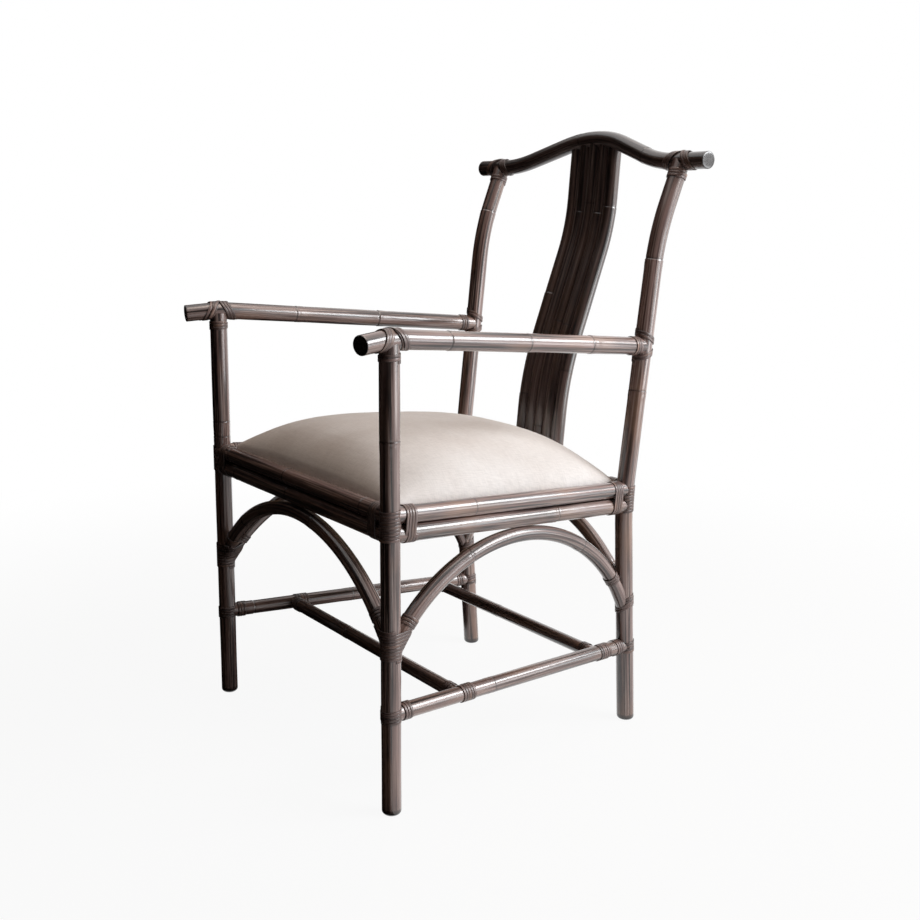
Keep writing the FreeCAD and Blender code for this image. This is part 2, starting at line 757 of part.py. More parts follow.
def fit_braces():
    """Braces with two screws each into the lower rails and one up into the board."""
    middle_run = (dim("brace_near") + dim("brace_far")) / 2
    head_depth = dim("brace_far") - middle_run - dim("screw_head_diameter") / 2
    height = board_under - dim("brace_thickness") / 2
    for side in SIDES.values():
        for end in ("front", "rear"):
            braces.append(in_seat(make_brace(side, end)))
            outward = Vector(0, -1 if end == "front" else 1, 0)
            sideways = Vector(side * math.cos(side_slant), math.sin(side_slant), 0)
            on_end = brace_corner(side, end, middle_run, 0)
            on_side = brace_corner(side, end, 0, middle_run)
            drives = ((on_end, outward, end), (on_side, sideways, "left" if side > 0 else "right"))
            for point, direction, place in drives:
                level = Vector(0, 0, height)
                head = point + level - direction * head_depth
                brace_screws.append(in_seat(placed(brace_screw_pattern, head, direction)))
                bore = in_seat(placed(brace_bore_pattern, head, direction))
                brace_bores.append(bore)
                add_bore("seat_rail_%s_lower" % place, bore)
            middle = (on_end + on_side) * 0.5
            head = middle + Vector(0, 0, board_under - dim("brace_thickness"))
            seat_screws.append(in_seat(placed(seat_screw_pattern, head, up)))
            seat_bores.append(in_seat(placed(seat_bore_pattern, head, up)))


fit_braces()

# Bindings of rattan peel: flat strips wound round the pole ends beside each joint


def arc_from(start, tangent, end):
    """Arc that leaves start along a tangent and passes through end."""
    chord = end - start
    sideways = chord - tangent * chord.dot(tangent)
    radius = chord.dot(chord) / (2 * sideways.Length)
    centre = start + unit(sideways) * radius
    middle = centre + unit(start + end - centre * 2) * radius
    return Part.Arc(start, middle, end).toShape()


def half_turn(start, leaving, end, arriving):
    """Two tangent arcs that make one half turn of a winding."""
    span = end - start
    pull = span.dot(leaving + arriving)
    bend = 2 * (1 - leaving.dot(arriving))
    reach = (math.sqrt(pull ** 2 + bend * span.dot(span)) - pull) / bend
    first = start + leaving * reach
    second = end - arriving * reach
    joint = (first + second) * 0.5
    return [arc_from(start, leaving, joint), arc_from(joint, unit(second - first), end)]


def winding_path(origin, axis, upward, radius, half_run, turns):
    """Turns round a pole, or round a stacked pair whose axes lie half_run above and below the origin."""
    sideways = axis.cross(upward)
    slope = dim("strip_pitch") / (2 * math.pi * radius + 4 * half_run)
    point = origin + sideways * radius + upward * half_run
    edges = []
    sense = 1
    for _ in range(2 * turns):
        leaving = unit(upward * sense + axis * slope)
        arriving = unit(upward * -sense + axis * slope)
        opposite = point - sideways * (2 * radius * sense) + axis * (slope * math.pi * radius)
        edges += half_turn(point, leaving, opposite, arriving)
        point = opposite
        if half_run:
            below = point - upward * (2 * half_run * sense) + axis * (slope * 2 * half_run)
            edges.append(Part.makeLine(point, below))
            point = below
        sense = -sense
    return Part.Wire(edges)


def strip_section(start, axis, outward):
    """Outline of the strip, a little narrower on its outer face."""
    wide = axis * (dim("strip_width") / 2)
    narrow = axis * (dim("strip_outer_width") / 2)
    thick = outward * (dim("strip_thickness") / 2)
    corners = [start - wide - thick, start + wide - thick, start + narrow + thick, start - narrow + thick]
    return Part.makePolygon(corners + corners[:1])


turn_gaps = []
TURN_SAMPLES = 48


def measure_turn_gap(path, turns):
    """Least gap between neighbouring turns, measured on points along the winding."""
    points = path.discretize(turns * TURN_SAMPLES + 1)
    for index in range(len(points) - TURN_SAMPLES):
        window = points[index + TURN_SAMPLES // 2:index + TURN_SAMPLES + TURN_SAMPLES // 2]
        nearest = min((points[index] - other).Length for other in window)
        turn_gaps.append(nearest - dim("strip_width"))


def wound_middle(reach, turns):
    """Distance from a carrier's axis to the middle of a winding beside it."""
    wound = dim("strip_width") + turns * dim("strip_pitch")
    return reach + dim("binding_stand_off") + wound / 2


def slanted_reach(carrier_radius, carrier_axis, pole_radius, pole_axis):
    """Distance along a pole's axis from a carrier's axis to where the whole pole has left the carrier."""
    along = abs(carrier_axis.dot(pole_axis))
    return (carrier_radius + pole_radius * along) / math.sqrt(1 - along ** 2)


def winding(middle, axis, pole_radius, turns, half_run=0.0, upward=None):
    """One unbroken strip wound round a pole or a stacked pair, around its middle point."""
    if upward is None:
        helper = up if abs(axis.z) < math.hypot(axis.x, axis.y) else across
        upward = unit(helper - axis * helper.dot(axis))
    origin = middle - axis * (turns * dim("strip_pitch") / 2)
    radius = pole_radius + dim("strip_clearance") + dim("strip_thickness") / 2
    path = winding_path(origin, axis, upward, radius, half_run, turns)
    measure_turn_gap(path, turns)
    outward = axis.cross(upward)
    start = origin + outward * radius + upward * half_run
    shell = Part.BRepOffsetAPI.MakePipeShell(path)
    shell.setBiNormalMode(axis)
    shell.add(strip_section(start, axis, outward))
    shell.build()
    shell.makeSolid()
    return shell.shape()


def tucked_strip(centre, axis, pole_radius, blockers):
    """Strip laid round a pole with its ends tucked in beside the poles that butt on it."""
    width = dim("strip_width")
    inner = pole_radius + dim("strip_clearance")
    base = centre - axis * (width / 2)
    ring = Part.makeCylinder(inner + dim("strip_thickness"), width, base, axis)
    ring = ring.cut(Part.makeCylinder(inner, width, base, axis))
    return ring.cut(tuple(blockers)).Solids


def blank(name):
    """Uncut shape of a pole, as an obstacle."""
    return carriers[name].Shape


def upright_axis(name, height):
    """Point and direction of a leg or post at one height."""
    side_name = name.rsplit("_", 1)[1]
    if "leg" in name:
        return leg_axis(side_name, height), up
    point = post_axis(side_name, height)
    return point, path_tangent(post_paths[side_name], point)


def leg_strips(upright, height, pole_radius, turns, blockers):
    """Band of tucked strips round an upright, centred on one height."""
    strips = []
    for turn in range(turns):
        place = (turn - (turns - 1) / 2) * dim("strip_pitch")
        centre, axis = upright_axis(upright, height + place)
        strips += tucked_strip(centre, axis, pole_radius, blockers)
    return strips


CORNERS = [(end, name) for end in ("front", "rear") for name in SIDES]


def upright_of(end, name):
    """Upright at one corner, with its radius."""
    if end == "front":
        return "front_leg_" + name, leg_radius
    return "rear_post_" + name, post_radius


def bind_seat_corner(end, name):
    """Strips on the upright and turns round both pairs of rails beside it."""
    upright, radius = upright_of(end, name)
    height = dim("front_rail_height") if end == "front" else dim("rear_rail_height")
    rails = ["seat_rail_%s_%s" % (place, level) for place in (end, name) for level in RAIL_LEVELS]
    solids = leg_strips(upright, height, radius, LEG_BAND_TURNS["seat"], [blank(rail) for rail in rails])
    for place in (end, name):
        first_upper, last_upper = rail_ends(place, 1)
        first_lower, last_lower = rail_ends(place, -1)
        start = (first_upper + first_lower) * 0.5
        finish = (last_upper + last_lower) * 0.5
        if rail_end_names(place)[1] == upright:
            start, finish = finish, start
        inward = unit(finish - start)
        upward = unit(up - inward * up.dot(inward))
        half_run = rail_offset * upward.z
        reach = slanted_reach(radius, upright_axis(upright, height)[1], rail_radius + half_run, inward)
        middle = start + inward * wound_middle(reach, RAIL_TURNS)
        solids.append(winding(middle, inward, rail_radius, RAIL_TURNS, half_run, upward))
    return solids


def bind_arches(end, name):
    """Strips on the upright and turns round the ends of both arches."""
    upright, radius = upright_of(end, name)
    arcs = []
    joint_heights = []
    for place in (end, name):
        arc = arch_paths[place].Edges[0]
        at_start = rail_end_names(place)[0] == upright
        parameter = arc.FirstParameter if at_start else arc.LastParameter
        inward = arc.tangentAt(parameter) * (1 if at_start else -1)
        level_run = math.sqrt(1 - inward.z ** 2)
        joint_heights.append(arc.valueAt(parameter).z + radius * inward.z / level_run)
        reach = (radius + arch_radius * abs(inward.z)) / level_run
        turned = wound_middle(reach, POLE_TURNS) / arc.Curve.Radius * (1 if at_start else -1)
        middle = arc.valueAt(parameter + turned)
        direction = arc.tangentAt(parameter + turned) * (1 if at_start else -1)
        arcs.append(winding(middle, direction, arch_radius, POLE_TURNS))
    height = sum(joint_heights) / len(joint_heights)
    blockers = [blank("arch_brace_" + place) for place in (end, name)]
    return leg_strips(upright, height, radius, LEG_BAND_TURNS["arch"], blockers) + arcs


def bind_stretcher(end, name):
    """Strips on the upright and turns round the end of the side stretcher."""
    upright, radius = upright_of(end, name)
    start, finish = stretcher_ends(name)
    if end == "rear":
        start, finish = finish, start
    inward = unit(finish - start)
    stretcher = blank("side_stretcher_" + name)
    solids = leg_strips(upright, start.z, radius, LEG_BAND_TURNS["stretcher"], [stretcher])
    reach = slanted_reach(radius, upright_axis(upright, start.z)[1], stretcher_radius, inward)
    middle = start + inward * wound_middle(reach, POLE_TURNS)
    return solids + [winding(middle, inward, stretcher_radius, POLE_TURNS)]


def bind_cross(end, name):
    """Strips beside and turns behind the joint on the side stretcher, and turns on the cross stretcher."""
    start, finish = cross_ends(end)
    if name == "left":
        start, finish = finish, start
    inward = unit(finish - start)
    front, rear = stretcher_ends(name)
    backward = unit(rear - front)
    behind = start + backward * wound_middle(cross_radius, POLE_TURNS)
    beside = start + inward * wound_middle(stretcher_radius, POLE_TURNS)
    solids = [
        winding(behind, backward, stretcher_radius, POLE_TURNS),
        winding(beside, inward, cross_radius, POLE_TURNS),
    ]
    for strip in range(CROSS_TUCKED_STRIPS):
        centre = start + backward * ((strip + 0.5) * dim("strip_pitch"))
        solids += tucked_strip(centre, backward, stretcher_radius, [blank("cross_stretcher_" + end)])
    return solids


def bind_arm_front(name):
    """Collar on the leg below the arm, and turns round the arm on both sides of the leg."""
    path = arm_paths[name]
    corner = leg_axis(name, dim("arm_front_height"))
    run = unit(corner - path.OrderedVertexes[0].Point)
    joint = leg_axis(name, path.distToShape(Part.Vertex(corner))[1][0][0].z)
    below = slanted_reach(arm_radius, run, leg_radius, up)
    aside = slanted_reach(leg_radius, up, arm_radius, run)
    collar = joint - up * wound_middle(below, POLE_TURNS)
    solids = [winding(collar, up * -1, leg_radius, POLE_TURNS)]
    for sense in (1, -1):
        offset = path_tangent(path, joint) * (sense * wound_middle(aside, POLE_TURNS))
        beside = path.distToShape(Part.Vertex(joint + offset))[1][0][0]
        solids.append(winding(beside, path_tangent(path, beside) * sense, arm_radius, POLE_TURNS))
    return solids


def bind_arm_rear(name):
    """Turns round the arm's end and round the post above and below it."""
    joint = post_axis(name, dim("arm_rear_height"))
    path = post_paths[name]
    forward = path_tangent(arm_paths[name], joint)
    rise = path_tangent(path, joint)
    reach = slanted_reach(post_radius, rise, arm_radius, forward)
    beside = joint + forward * wound_middle(reach, POLE_TURNS)
    solids = [winding(beside, forward, arm_radius, POLE_TURNS)]
    for sense in (1, -1):
        reach = slanted_reach(arm_radius, forward, post_radius, rise)
        beside = joint + rise * (sense * wound_middle(reach, POLE_TURNS))
        solids.append(winding(beside, rise * sense, post_radius, POLE_TURNS))
    return solids


def bind_crest(name):
    """Turns round the post below the crest rail and round the crest on both sides of the post."""
    joint = post_corner(SIDES[name], crest_set_back, dim("crest_height"))
    down = path_tangent(post_paths[name], joint) * -1
    below = joint + down * wound_middle(crest_radius, POLE_TURNS)
    solids = [winding(below, down, post_radius, POLE_TURNS)]
    for sense in (1, -1):
        offset = across * (sense * wound_middle(post_radius, POLE_TURNS))
        beside = crest_path.distToShape(Part.Vertex(joint + offset))[1][0][0]
        solids.append(winding(beside, path_tangent(crest_path, beside) * sense, crest_radius, POLE_TURNS))
    return solids


def make_bindings():
    """One node of strips for each bound joint."""
    for end, name in CORNERS:
        kinds = (("seat", bind_seat_corner), ("arch", bind_arches),
                 ("stretcher", bind_stretcher), ("cross", bind_cross))
        for kind, bind in kinds:
            node = "%s_binding_%s_%s" % (kind, end, name)
            add_node(node, add_shape(node, Part.makeCompound(bind(end, name))))
    for name in SIDES:
        kinds = (("arm_binding_front_", bind_arm_front), ("arm_binding_rear_", bind_arm_rear),
                 ("crest_binding_", bind_crest))
        for kind, bind in kinds:
            add_node(kind + name, add_shape(kind + name, Part.makeCompound(bind(name))))


make_bindings()
print("least gap between turns of a binding: %.2f mm" % min(turn_gaps))

# Finished poles: each blank is coped by its carriers and bored for its screws


def copes(pole):
    """Groups of poles that a pole's ends are shaped to; poles of one group don't overlap."""
    if pole.startswith("seat_rail_"):
        place, level = pole.rsplit("_", 2)[1:]
        groups = [list(rail_end_names(place))]
        if place in SIDES:
            groups.append(["seat_rail_%s_%s" % (end, level) for end in ("front", "rear")])
        return groups
    if pole.startswith("arch_brace_"):
        place = pole.rsplit("_", 1)[1]
        groups = [list(rail_end_names(place))]
        if place in SIDES:
            groups.append(["arch_brace_front", "arch_brace_rear"])
        return groups
    if pole.startswith("side_stretcher_"):
        return [list(rail_end_names(pole.rsplit("_", 1)[1]))]
    if pole.startswith("cross_stretcher_"):
        return [["side_stretcher_left", "side_stretcher_right"]]
    if pole.startswith("splat_pole_"):
        return [["seat_rail_rear_upper", "crest_rail"]]
    if pole.startswith("front_leg_"):
        return [["arm_rail_" + pole.rsplit("_", 1)[1]]]
    if pole.startswith("rear_post_"):
        return [["crest_rail"]]
    if pole.startswith("arm_rail_"):
        return [["rear_post_" + pole.rsplit("_", 1)[1]]]
    return []


def round_foot(pole, feature):
    """Fillet round the lower edge of a foot."""
    doc.recompute()
    rounded = doc.addObject("Part::Fillet", pole + "_rounded")
    rounded.Base = feature
    radius = dim("foot_rounding")
    rounded.Edges = [(index, radius, radius) for index, edge in enumerate(feature.Shape.Edges, start=1)
                     if edge.BoundBox.ZMax < radius / 10]
    return rounded


def finish_poles():
    """Cut every blank and enter the result as a node."""
    for pole, base in carriers.items():
        feature = base
        for step, group in enumerate(copes(pole), start=1):
            tool = add_group("%s_cope_%d" % (pole, step), [carriers[name] for name in group])
            feature = add_cut("%s_coped_%d" % (pole, step), feature, tool)
        if pole.startswith(("front_leg_", "rear_post_")):
            feature = round_foot(pole, feature)
        bore = add_shape(pole + "_bores", Part.makeCompound(bores[pole]))
        add_node(pole, add_cut(pole, feature, bore))


finish_poles()

# Seat pieces and fasteners

outer_cushion = add_shape("cushion_outside", in_seat(cushion_shape(0.0)))
inner_cushion = add_shape("cushion_inside", in_seat(cushion_shape(-dim("cover_thickness"))))
board_blank = add_shape("board_blank", in_seat(make_board()))
seat_bore_group = add_shape("seat_bores", Part.makeCompound(seat_bores))
brace_group = add_shape("brace_blanks", Part.makeCompound(braces))
brace_bore_group = add_shape("brace_bores", Part.makeCompound(brace_bores))
braces_bored = add_cut("braces_bored_sideways", brace_group, brace_bore_group)
add_node("corner_braces", add_cut("corner_braces", braces_bored, seat_bore_group))
add_node("seat_board", add_cut("seat_board", board_blank, seat_bore_group))
foam_bored = add_cut("foam_bored", inner_cushion, seat_bore_group)
add_node("seat_foam", foam_bored)
add_node("seat_cover", add_cut("seat_cover", outer_cushion, inner_cushion))
fasteners = {
    "frame_screws": frame_screws,
    "splat_dowels": splat_dowels,
    "brace_screws": brace_screws,
    "seat_screws": seat_screws,
}
for name, shapes in fasteners.items():
    add_node(name, add_shape(name, Part.makeCompound(shapes)))

# Check every object, then write one file per node

doc.recompute()
for feature in doc.Objects:
    if "Invalid" in feature.State or "Error" in feature.State:
        raise RuntimeError("%s failed: %s" % (feature.Name, feature.State))
for name, feature in nodes.items():
    if feature.Shape.isNull() or not feature.Shape.isValid() or not feature.Shape.Solids:
        raise RuntimeError("%s has no valid solid" % name)
box = FreeCAD.BoundBox()
for name, feature in nodes.items():
    box.add(feature.Shape.BoundBox)
    feature.Shape.exportStep("parts/%s.step" % name)
print("nodes: %d" % len(nodes))
print("box x %.1f to %.1f, y %.1f to %.1f, z %.1f to %.1f"
      % (box.XMin, box.XMax, box.YMin, box.YMax, box.ZMin, box.ZMax))
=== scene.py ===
# %% [markdown]
# # An armchair of bent rattan poles
# The imported model holds the chair's construction: every pole, binding, screw and board at its real
# size. This lesson dresses it. Plain tubes become grown canes with rings and streaks, the bindings
# become crowned strips of peel, and the seat becomes a soft cushion. The first step loads the frame.
# The dressed chair has to stay inside it.

# %% Load the imported chair
import math

import bmesh
import bpy
import numpy as np
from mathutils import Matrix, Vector


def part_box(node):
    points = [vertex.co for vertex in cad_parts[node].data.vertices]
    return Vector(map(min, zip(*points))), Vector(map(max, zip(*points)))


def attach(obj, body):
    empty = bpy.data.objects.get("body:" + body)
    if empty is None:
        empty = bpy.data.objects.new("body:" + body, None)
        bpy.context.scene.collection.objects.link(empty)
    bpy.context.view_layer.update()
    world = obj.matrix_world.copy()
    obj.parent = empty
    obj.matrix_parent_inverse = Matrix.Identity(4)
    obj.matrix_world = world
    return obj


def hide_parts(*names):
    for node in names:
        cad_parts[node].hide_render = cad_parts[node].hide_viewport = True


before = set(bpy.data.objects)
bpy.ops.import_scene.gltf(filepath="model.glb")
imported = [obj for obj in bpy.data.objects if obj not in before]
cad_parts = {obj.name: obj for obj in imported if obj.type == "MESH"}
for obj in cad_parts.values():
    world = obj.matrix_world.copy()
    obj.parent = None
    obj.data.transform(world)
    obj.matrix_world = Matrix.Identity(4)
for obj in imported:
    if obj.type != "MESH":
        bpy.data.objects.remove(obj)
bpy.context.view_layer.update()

print("nodes in the frame:", len(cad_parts))

# %% [markdown]
# ## The camera
# The photograph was taken from the chair's front left, a little above the seat. A camera can be
# aimed by eye, but here its bearing, height and distance were worked out from joints of the chair
# that can be found in the picture. The chair stands left of and above the middle of the frame, so
# the lens is shifted a little, as on a studio camera.

# %% Camera at the photograph's angle
VIEW_BEARING = math.radians(55.58)
VIEW_HEIGHT = math.radians(10.44)
VIEW_DISTANCE = 1.9785
VIEW_TARGET = np.array([0.0, -0.0411, 0.5])
FRAME_PIXELS = 920
FOCAL_PIXELS = 1200.45
AXIS_PIXEL = (424.57, 424.49)
SENSOR_WIDTH = 36.0


def add_camera():
    """Camera on a sphere round the target, looking at it, with the photograph's framing."""
    lens = bpy.data.cameras.new("photo_camera")
    lens.sensor_width = SENSOR_WIDTH
    lens.lens = SENSOR_WIDTH * FOCAL_PIXELS / FRAME_PIXELS
    lens.shift_x = 0.5 - AXIS_PIXEL[0] / FRAME_PIXELS
    lens.shift_y = AXIS_PIXEL[1] / FRAME_PIXELS - 0.5
    camera = bpy.data.objects.new("photo_camera", lens)
    level = math.cos(VIEW_HEIGHT)
    backward = np.array([
        math.sin(VIEW_BEARING) * level,
        -math.cos(VIEW_BEARING) * level,
        math.sin(VIEW_HEIGHT),
    ])
    camera.location = VIEW_TARGET + backward * VIEW_DISTANCE
    camera.rotation_euler = (math.pi / 2 - VIEW_HEIGHT, 0.0, VIEW_BEARING)
    bpy.context.scene.collection.objects.link(camera)
    bpy.context.scene.camera = camera
    return camera


camera = add_camera()
print("camera at", [round(number, 3) for number in camera.location])
print("lens:", round(camera.data.lens, 2), "mm")

# %% [markdown]
# ## Small helpers for node materials
# Every finish below is a node tree. Building one by hand in the shader editor means adding nodes
# and pulling links; the helpers here do the same from code. An input that is the same all over
# a surface is set on the shader itself, so that other programs can read it.

# %% Helpers for node trees


def new_finish(name):
    """Material with an empty node tree, its main shader and its output."""
    finish = bpy.data.materials.new(name)
    finish.use_nodes = True
    tree = finish.node_tree
    tree.nodes.clear()
    shader = tree.nodes.new("ShaderNodeBsdfPrincipled")
    output = tree.nodes.new("ShaderNodeOutputMaterial")
    tree.links.new(shader.outputs["BSDF"], output.inputs["Surface"])
    return finish, tree, shader


def add_step(tree, kind, settings=None, **inputs):
    """Node with its settings; each input is a plain value or the socket that feeds it."""
    step = tree.nodes.new(kind)
    for key, value in (settings or {}).items():
        setattr(step, key, value)
    for key, value in inputs.items():
        socket = step.inputs[int(key[1:])] if key[1:].isdigit() else step.inputs[key]
        if isinstance(value, bpy.types.NodeSocket):
            tree.links.new(value, socket)
        else:
            socket.default_value = value
    return step


def blend_colours(tree, share, first, second, mode="MIX"):
    """Colour mix of two colours or sockets."""
    settings = {"data_type": "RGBA", "blend_type": mode}
    return add_step(tree, "ShaderNodeMix", settings, i0=share, i6=first, i7=second).outputs[2]


def ramp(tree, source, stops):
    """Grey or colour ramp through (place, colour) stops."""
    step = add_step(tree, "ShaderNodeValToRGB", Fac=source)
    elements = step.color_ramp.elements
    while len(elements) < len(stops):
        elements.new(0.5)
    for element, (place, colour) in zip(elements, stops):
        element.position = place
        element.color = colour
    return step.outputs["Color"]


def spread(tree, source, low, high):
    """Map a value from 0..1 to low..high."""
    step = add_step(tree, "ShaderNodeMapRange", Value=source)
    step.inputs["To Min"].default_value = low
    step.inputs["To Max"].default_value = high
    return step.outputs["Result"]


def noise(tree, place, scale, detail=3.0, roughness=0.55):
    """Noise over a place, stretched by a scale for each axis."""
    stretched = add_step(tree, "ShaderNodeMapping", Vector=place, Scale=scale).outputs["Vector"]
    step = add_step(tree, "ShaderNodeTexNoise", Vector=stretched, Scale=1.0, Detail=detail,
                    Roughness=roughness)
    return step.outputs["Fac"]


def grey(level):
    """Opaque grey."""
    return (level, level, level, 1.0)


print("helpers ready")

# %% [markdown]
# ## Studio
# The picture is a catalogue shot: a white ground, a cool window from the right and a little behind,
# which is a main lamp with a low strip below it, a weak warm lamp from above and a faint warm fill
# from everywhere. The strip reaches the legs below the seat and the cut ends. The floor and the world
# show white to the camera and in reflections, and light the chair only weakly. Dark lacquer mirrors
# whatever stands round it, so a sweep of black felt stands on the camera's side and to its left and
# runs down onto the floor, as a photographer would place one. It keeps the shaded sides of the poles
# dark. The floor keeps a faint shadow and turns white further out.

# %% Floor, world, felt and lamps
FLOOR_SIZE = 40.0
FLOOR_GREY = 0.55
FLOOR_WHITE_SHARE = 0.93
FLOOR_FADE = (0.7, 2.0)
FILL_COLOUR = (1.0, 0.70, 0.53, 1.0)
FILL_LEVEL = 0.16
FELT_RADIUS = 3.2
FELT_HEIGHT = 3.4
FELT_SPAN = (math.radians(-42), math.radians(178))
FELT_RUN_OUT = (math.radians(-5), math.radians(15))
FELT_INNER_EDGE = (FELT_RADIUS - 0.01, 0.05)
FELT_LIFT = 0.004
FELT_COLUMNS = 48
LAMP_DISTANCE = 2.6
KEY_DIRECTION = np.array([0.745, 0.665, 0.52])
KEY_SIZE = (1.5, 0.86)
KEY_POWER = 61.0
KEY_COLOUR = (0.95, 0.975, 1.0)
LOW_DIRECTION = np.array([0.80, 0.60, -0.01])
LOW_SIZE = (1.4, 0.7)
LOW_POWER = 14.0
TOP_DIRECTION = np.array([0.15, 0.12, 1.0])
TOP_SIZE = (1.6, 1.6)
TOP_POWER = 26.0
TOP_COLOUR = (1.0, 0.87, 0.77)


def seen_directly(tree):
    """1 for rays from the camera, mirror rays and rays through glass, else 0."""
    path = add_step(tree, "ShaderNodeLightPath").outputs
    glossy = add_step(tree, "ShaderNodeMath", {"operation": "MAXIMUM"}, i0=path["Is Camera Ray"],
                      i1=path["Is Glossy Ray"]).outputs[0]
    return add_step(tree, "ShaderNodeMath", {"operation": "MAXIMUM"}, i0=glossy,
                    i1=path["Is Transmission Ray"]).outputs[0]


def add_world():
    """White world for the eye, a weak fill for everything else."""
    world = bpy.data.worlds.new("white_ground")
    bpy.context.scene.world = world
    world.use_nodes = True
    tree = world.node_tree
    tree.nodes.clear()
    fill = add_step(tree, "ShaderNodeBackground", Color=FILL_COLOUR, Strength=FILL_LEVEL)
    white = add_step(tree, "ShaderNodeBackground", Color=grey(1.0), Strength=1.0)
    chosen = add_step(tree, "ShaderNodeMixShader", i0=seen_directly(tree), i1=fill.outputs[0],
                      i2=white.outputs[0])
    add_step(tree, "ShaderNodeOutputWorld", Surface=chosen.outputs[0])


def add_floor():
    """Pale floor with a faint shadow near the chair, fully white further out."""
    half = FLOOR_SIZE / 2
    corners = [(-half, -half, 0), (half, -half, 0), (half, half, 0), (-half, half, 0)]
    mesh = bpy.data.meshes.new("studio_floor")
    mesh.from_pydata(corners, [], [(0, 1, 2, 3)])
    floor = bpy.data.objects.new("studio_floor", mesh)
    bpy.context.scene.collection.objects.link(floor)
    finish, tree, shader = new_finish("floor_paper")
    shader.inputs["Base Color"].default_value = grey(FLOOR_GREY)
    shader.inputs["Roughness"].default_value = 0.9
    shader.inputs["Specular IOR Level"].default_value = 0.0
    glow = add_step(tree, "ShaderNodeEmission", Color=grey(1.0), Strength=1.0)
    place = add_step(tree, "ShaderNodeTexCoord").outputs["Object"]
    away = add_step(tree, "ShaderNodeVectorMath", {"operation": "LENGTH"}, Vector=place).outputs["Value"]
    fade = add_step(tree, "ShaderNodeMapRange", {"interpolation_type": "SMOOTHSTEP"}, Value=away)
    fade.inputs["From Min"].default_value, fade.inputs["From Max"].default_value = FLOOR_FADE
    fade.inputs["To Min"].default_value = FLOOR_WHITE_SHARE
    share = add_step(tree, "ShaderNodeMath", {"operation": "MULTIPLY"}, i0=seen_directly(tree),
                     i1=fade.outputs["Result"])
    mixed = add_step(tree, "ShaderNodeMixShader", i0=share.outputs[0], i1=shader.outputs[0],
                     i2=glow.outputs[0])
    output = next(step for step in tree.nodes if step.type == "OUTPUT_MATERIAL")
    tree.links.new(mixed.outputs[0], output.inputs["Surface"])
    mesh.materials.append(finish)


def add_felt():
    """Curved black felt on the camera's side and to its left, hidden from the camera and casting no shadow.
    """
    corners, faces = [], []
    for turn in np.linspace(*FELT_SPAN, FELT_COLUMNS):
        bearing = VIEW_BEARING - turn
        outward = np.array([math.sin(bearing), -math.cos(bearing)])
        near = np.interp(turn, FELT_RUN_OUT, FELT_INNER_EDGE)
        for distance, height in ((near, FELT_LIFT), (FELT_RADIUS, FELT_LIFT), (FELT_RADIUS, FELT_HEIGHT)):
            corners.append((*(outward * distance), height))
    for number in range(0, len(corners) - 3, 3):
        faces += [(number + row, number + 3 + row, number + 4 + row, number + 1 + row) for row in (0, 1)]
    mesh = bpy.data.meshes.new("black_felt")
    mesh.from_pydata(corners, [], faces)
    felt = bpy.data.objects.new("black_felt", mesh)
    bpy.context.scene.collection.objects.link(felt)
    finish, tree, shader = new_finish("felt_nap")
    place = add_step(tree, "ShaderNodeTexCoord").outputs["Object"]
    nap = noise(tree, place, (40.0, 40.0, 40.0))
    tree.links.new(ramp(tree, nap, [(0.3, grey(0.008)), (0.7, grey(0.016))]), shader.inputs["Base Color"])
    shader.inputs["Roughness"].default_value = 1.0
    shader.inputs["Specular IOR Level"].default_value = 0.0
    mesh.materials.append(finish)
    felt.visible_camera = False
    felt.visible_shadow = False


def add_lamp(name, direction, size, power, colour):
    """Rectangular soft lamp that looks at the middle of the chair."""
    lamp_data = bpy.data.lights.new(name, "AREA")
    lamp_data.shape = "RECTANGLE"
    lamp_data.size, lamp_data.size_y = size
    lamp_data.energy = power
    lamp_data.color = colour
    lamp = bpy.data.objects.new(name, lamp_data)
    outward = direction / np.linalg.norm(direction)
    lamp.location = VIEW_TARGET + outward * LAMP_DISTANCE
    bearing = math.atan2(outward[0], -outward[1])
    lamp.rotation_euler = (math.pi / 2 - math.asin(outward[2]), 0.0, bearing)
    bpy.context.scene.collection.objects.link(lamp)


bpy.context.scene.view_settings.view_transform = "Standard"
add_world()
add_floor()
add_felt()
add_lamp("key_light", KEY_DIRECTION, KEY_SIZE, KEY_POWER, KEY_COLOUR)
add_lamp("low_light", LOW_DIRECTION, LOW_SIZE, LOW_POWER, KEY_COLOUR)
add_lamp("top_light", TOP_DIRECTION, TOP_SIZE, TOP_POWER, TOP_COLOUR)
print("studio ready")

# %% [markdown]
# ## The finish of the canes
# The real poles are peeled rattan under a dark lacquer. Fibres run along the cane, so the streaks
# have to follow each bend. A texture in plain object space could not do that. Each pole's mesh
# therefore carries its own place: two coordinates across the cane and one along it. Noise stretched
# along the third gives streaks and pale fibres, slow noise gives warm patches where the lacquer is
# thin, and two more values darken the rings and the lowest few millimetres of each foot, and change
# the tone from one internode to the next.

# %% Lacquered cane
LACQUER_DEEP = (0.020, 0.0115, 0.0100, 1.0)
LACQUER_BROWN = (0.245, 0.158, 0.140, 1.0)
LACQUER_WARM = (0.30, 0.170, 0.112, 1.0)
LACQUER_PALE_FIBRE = (0.49, 0.385, 0.345, 1.0)


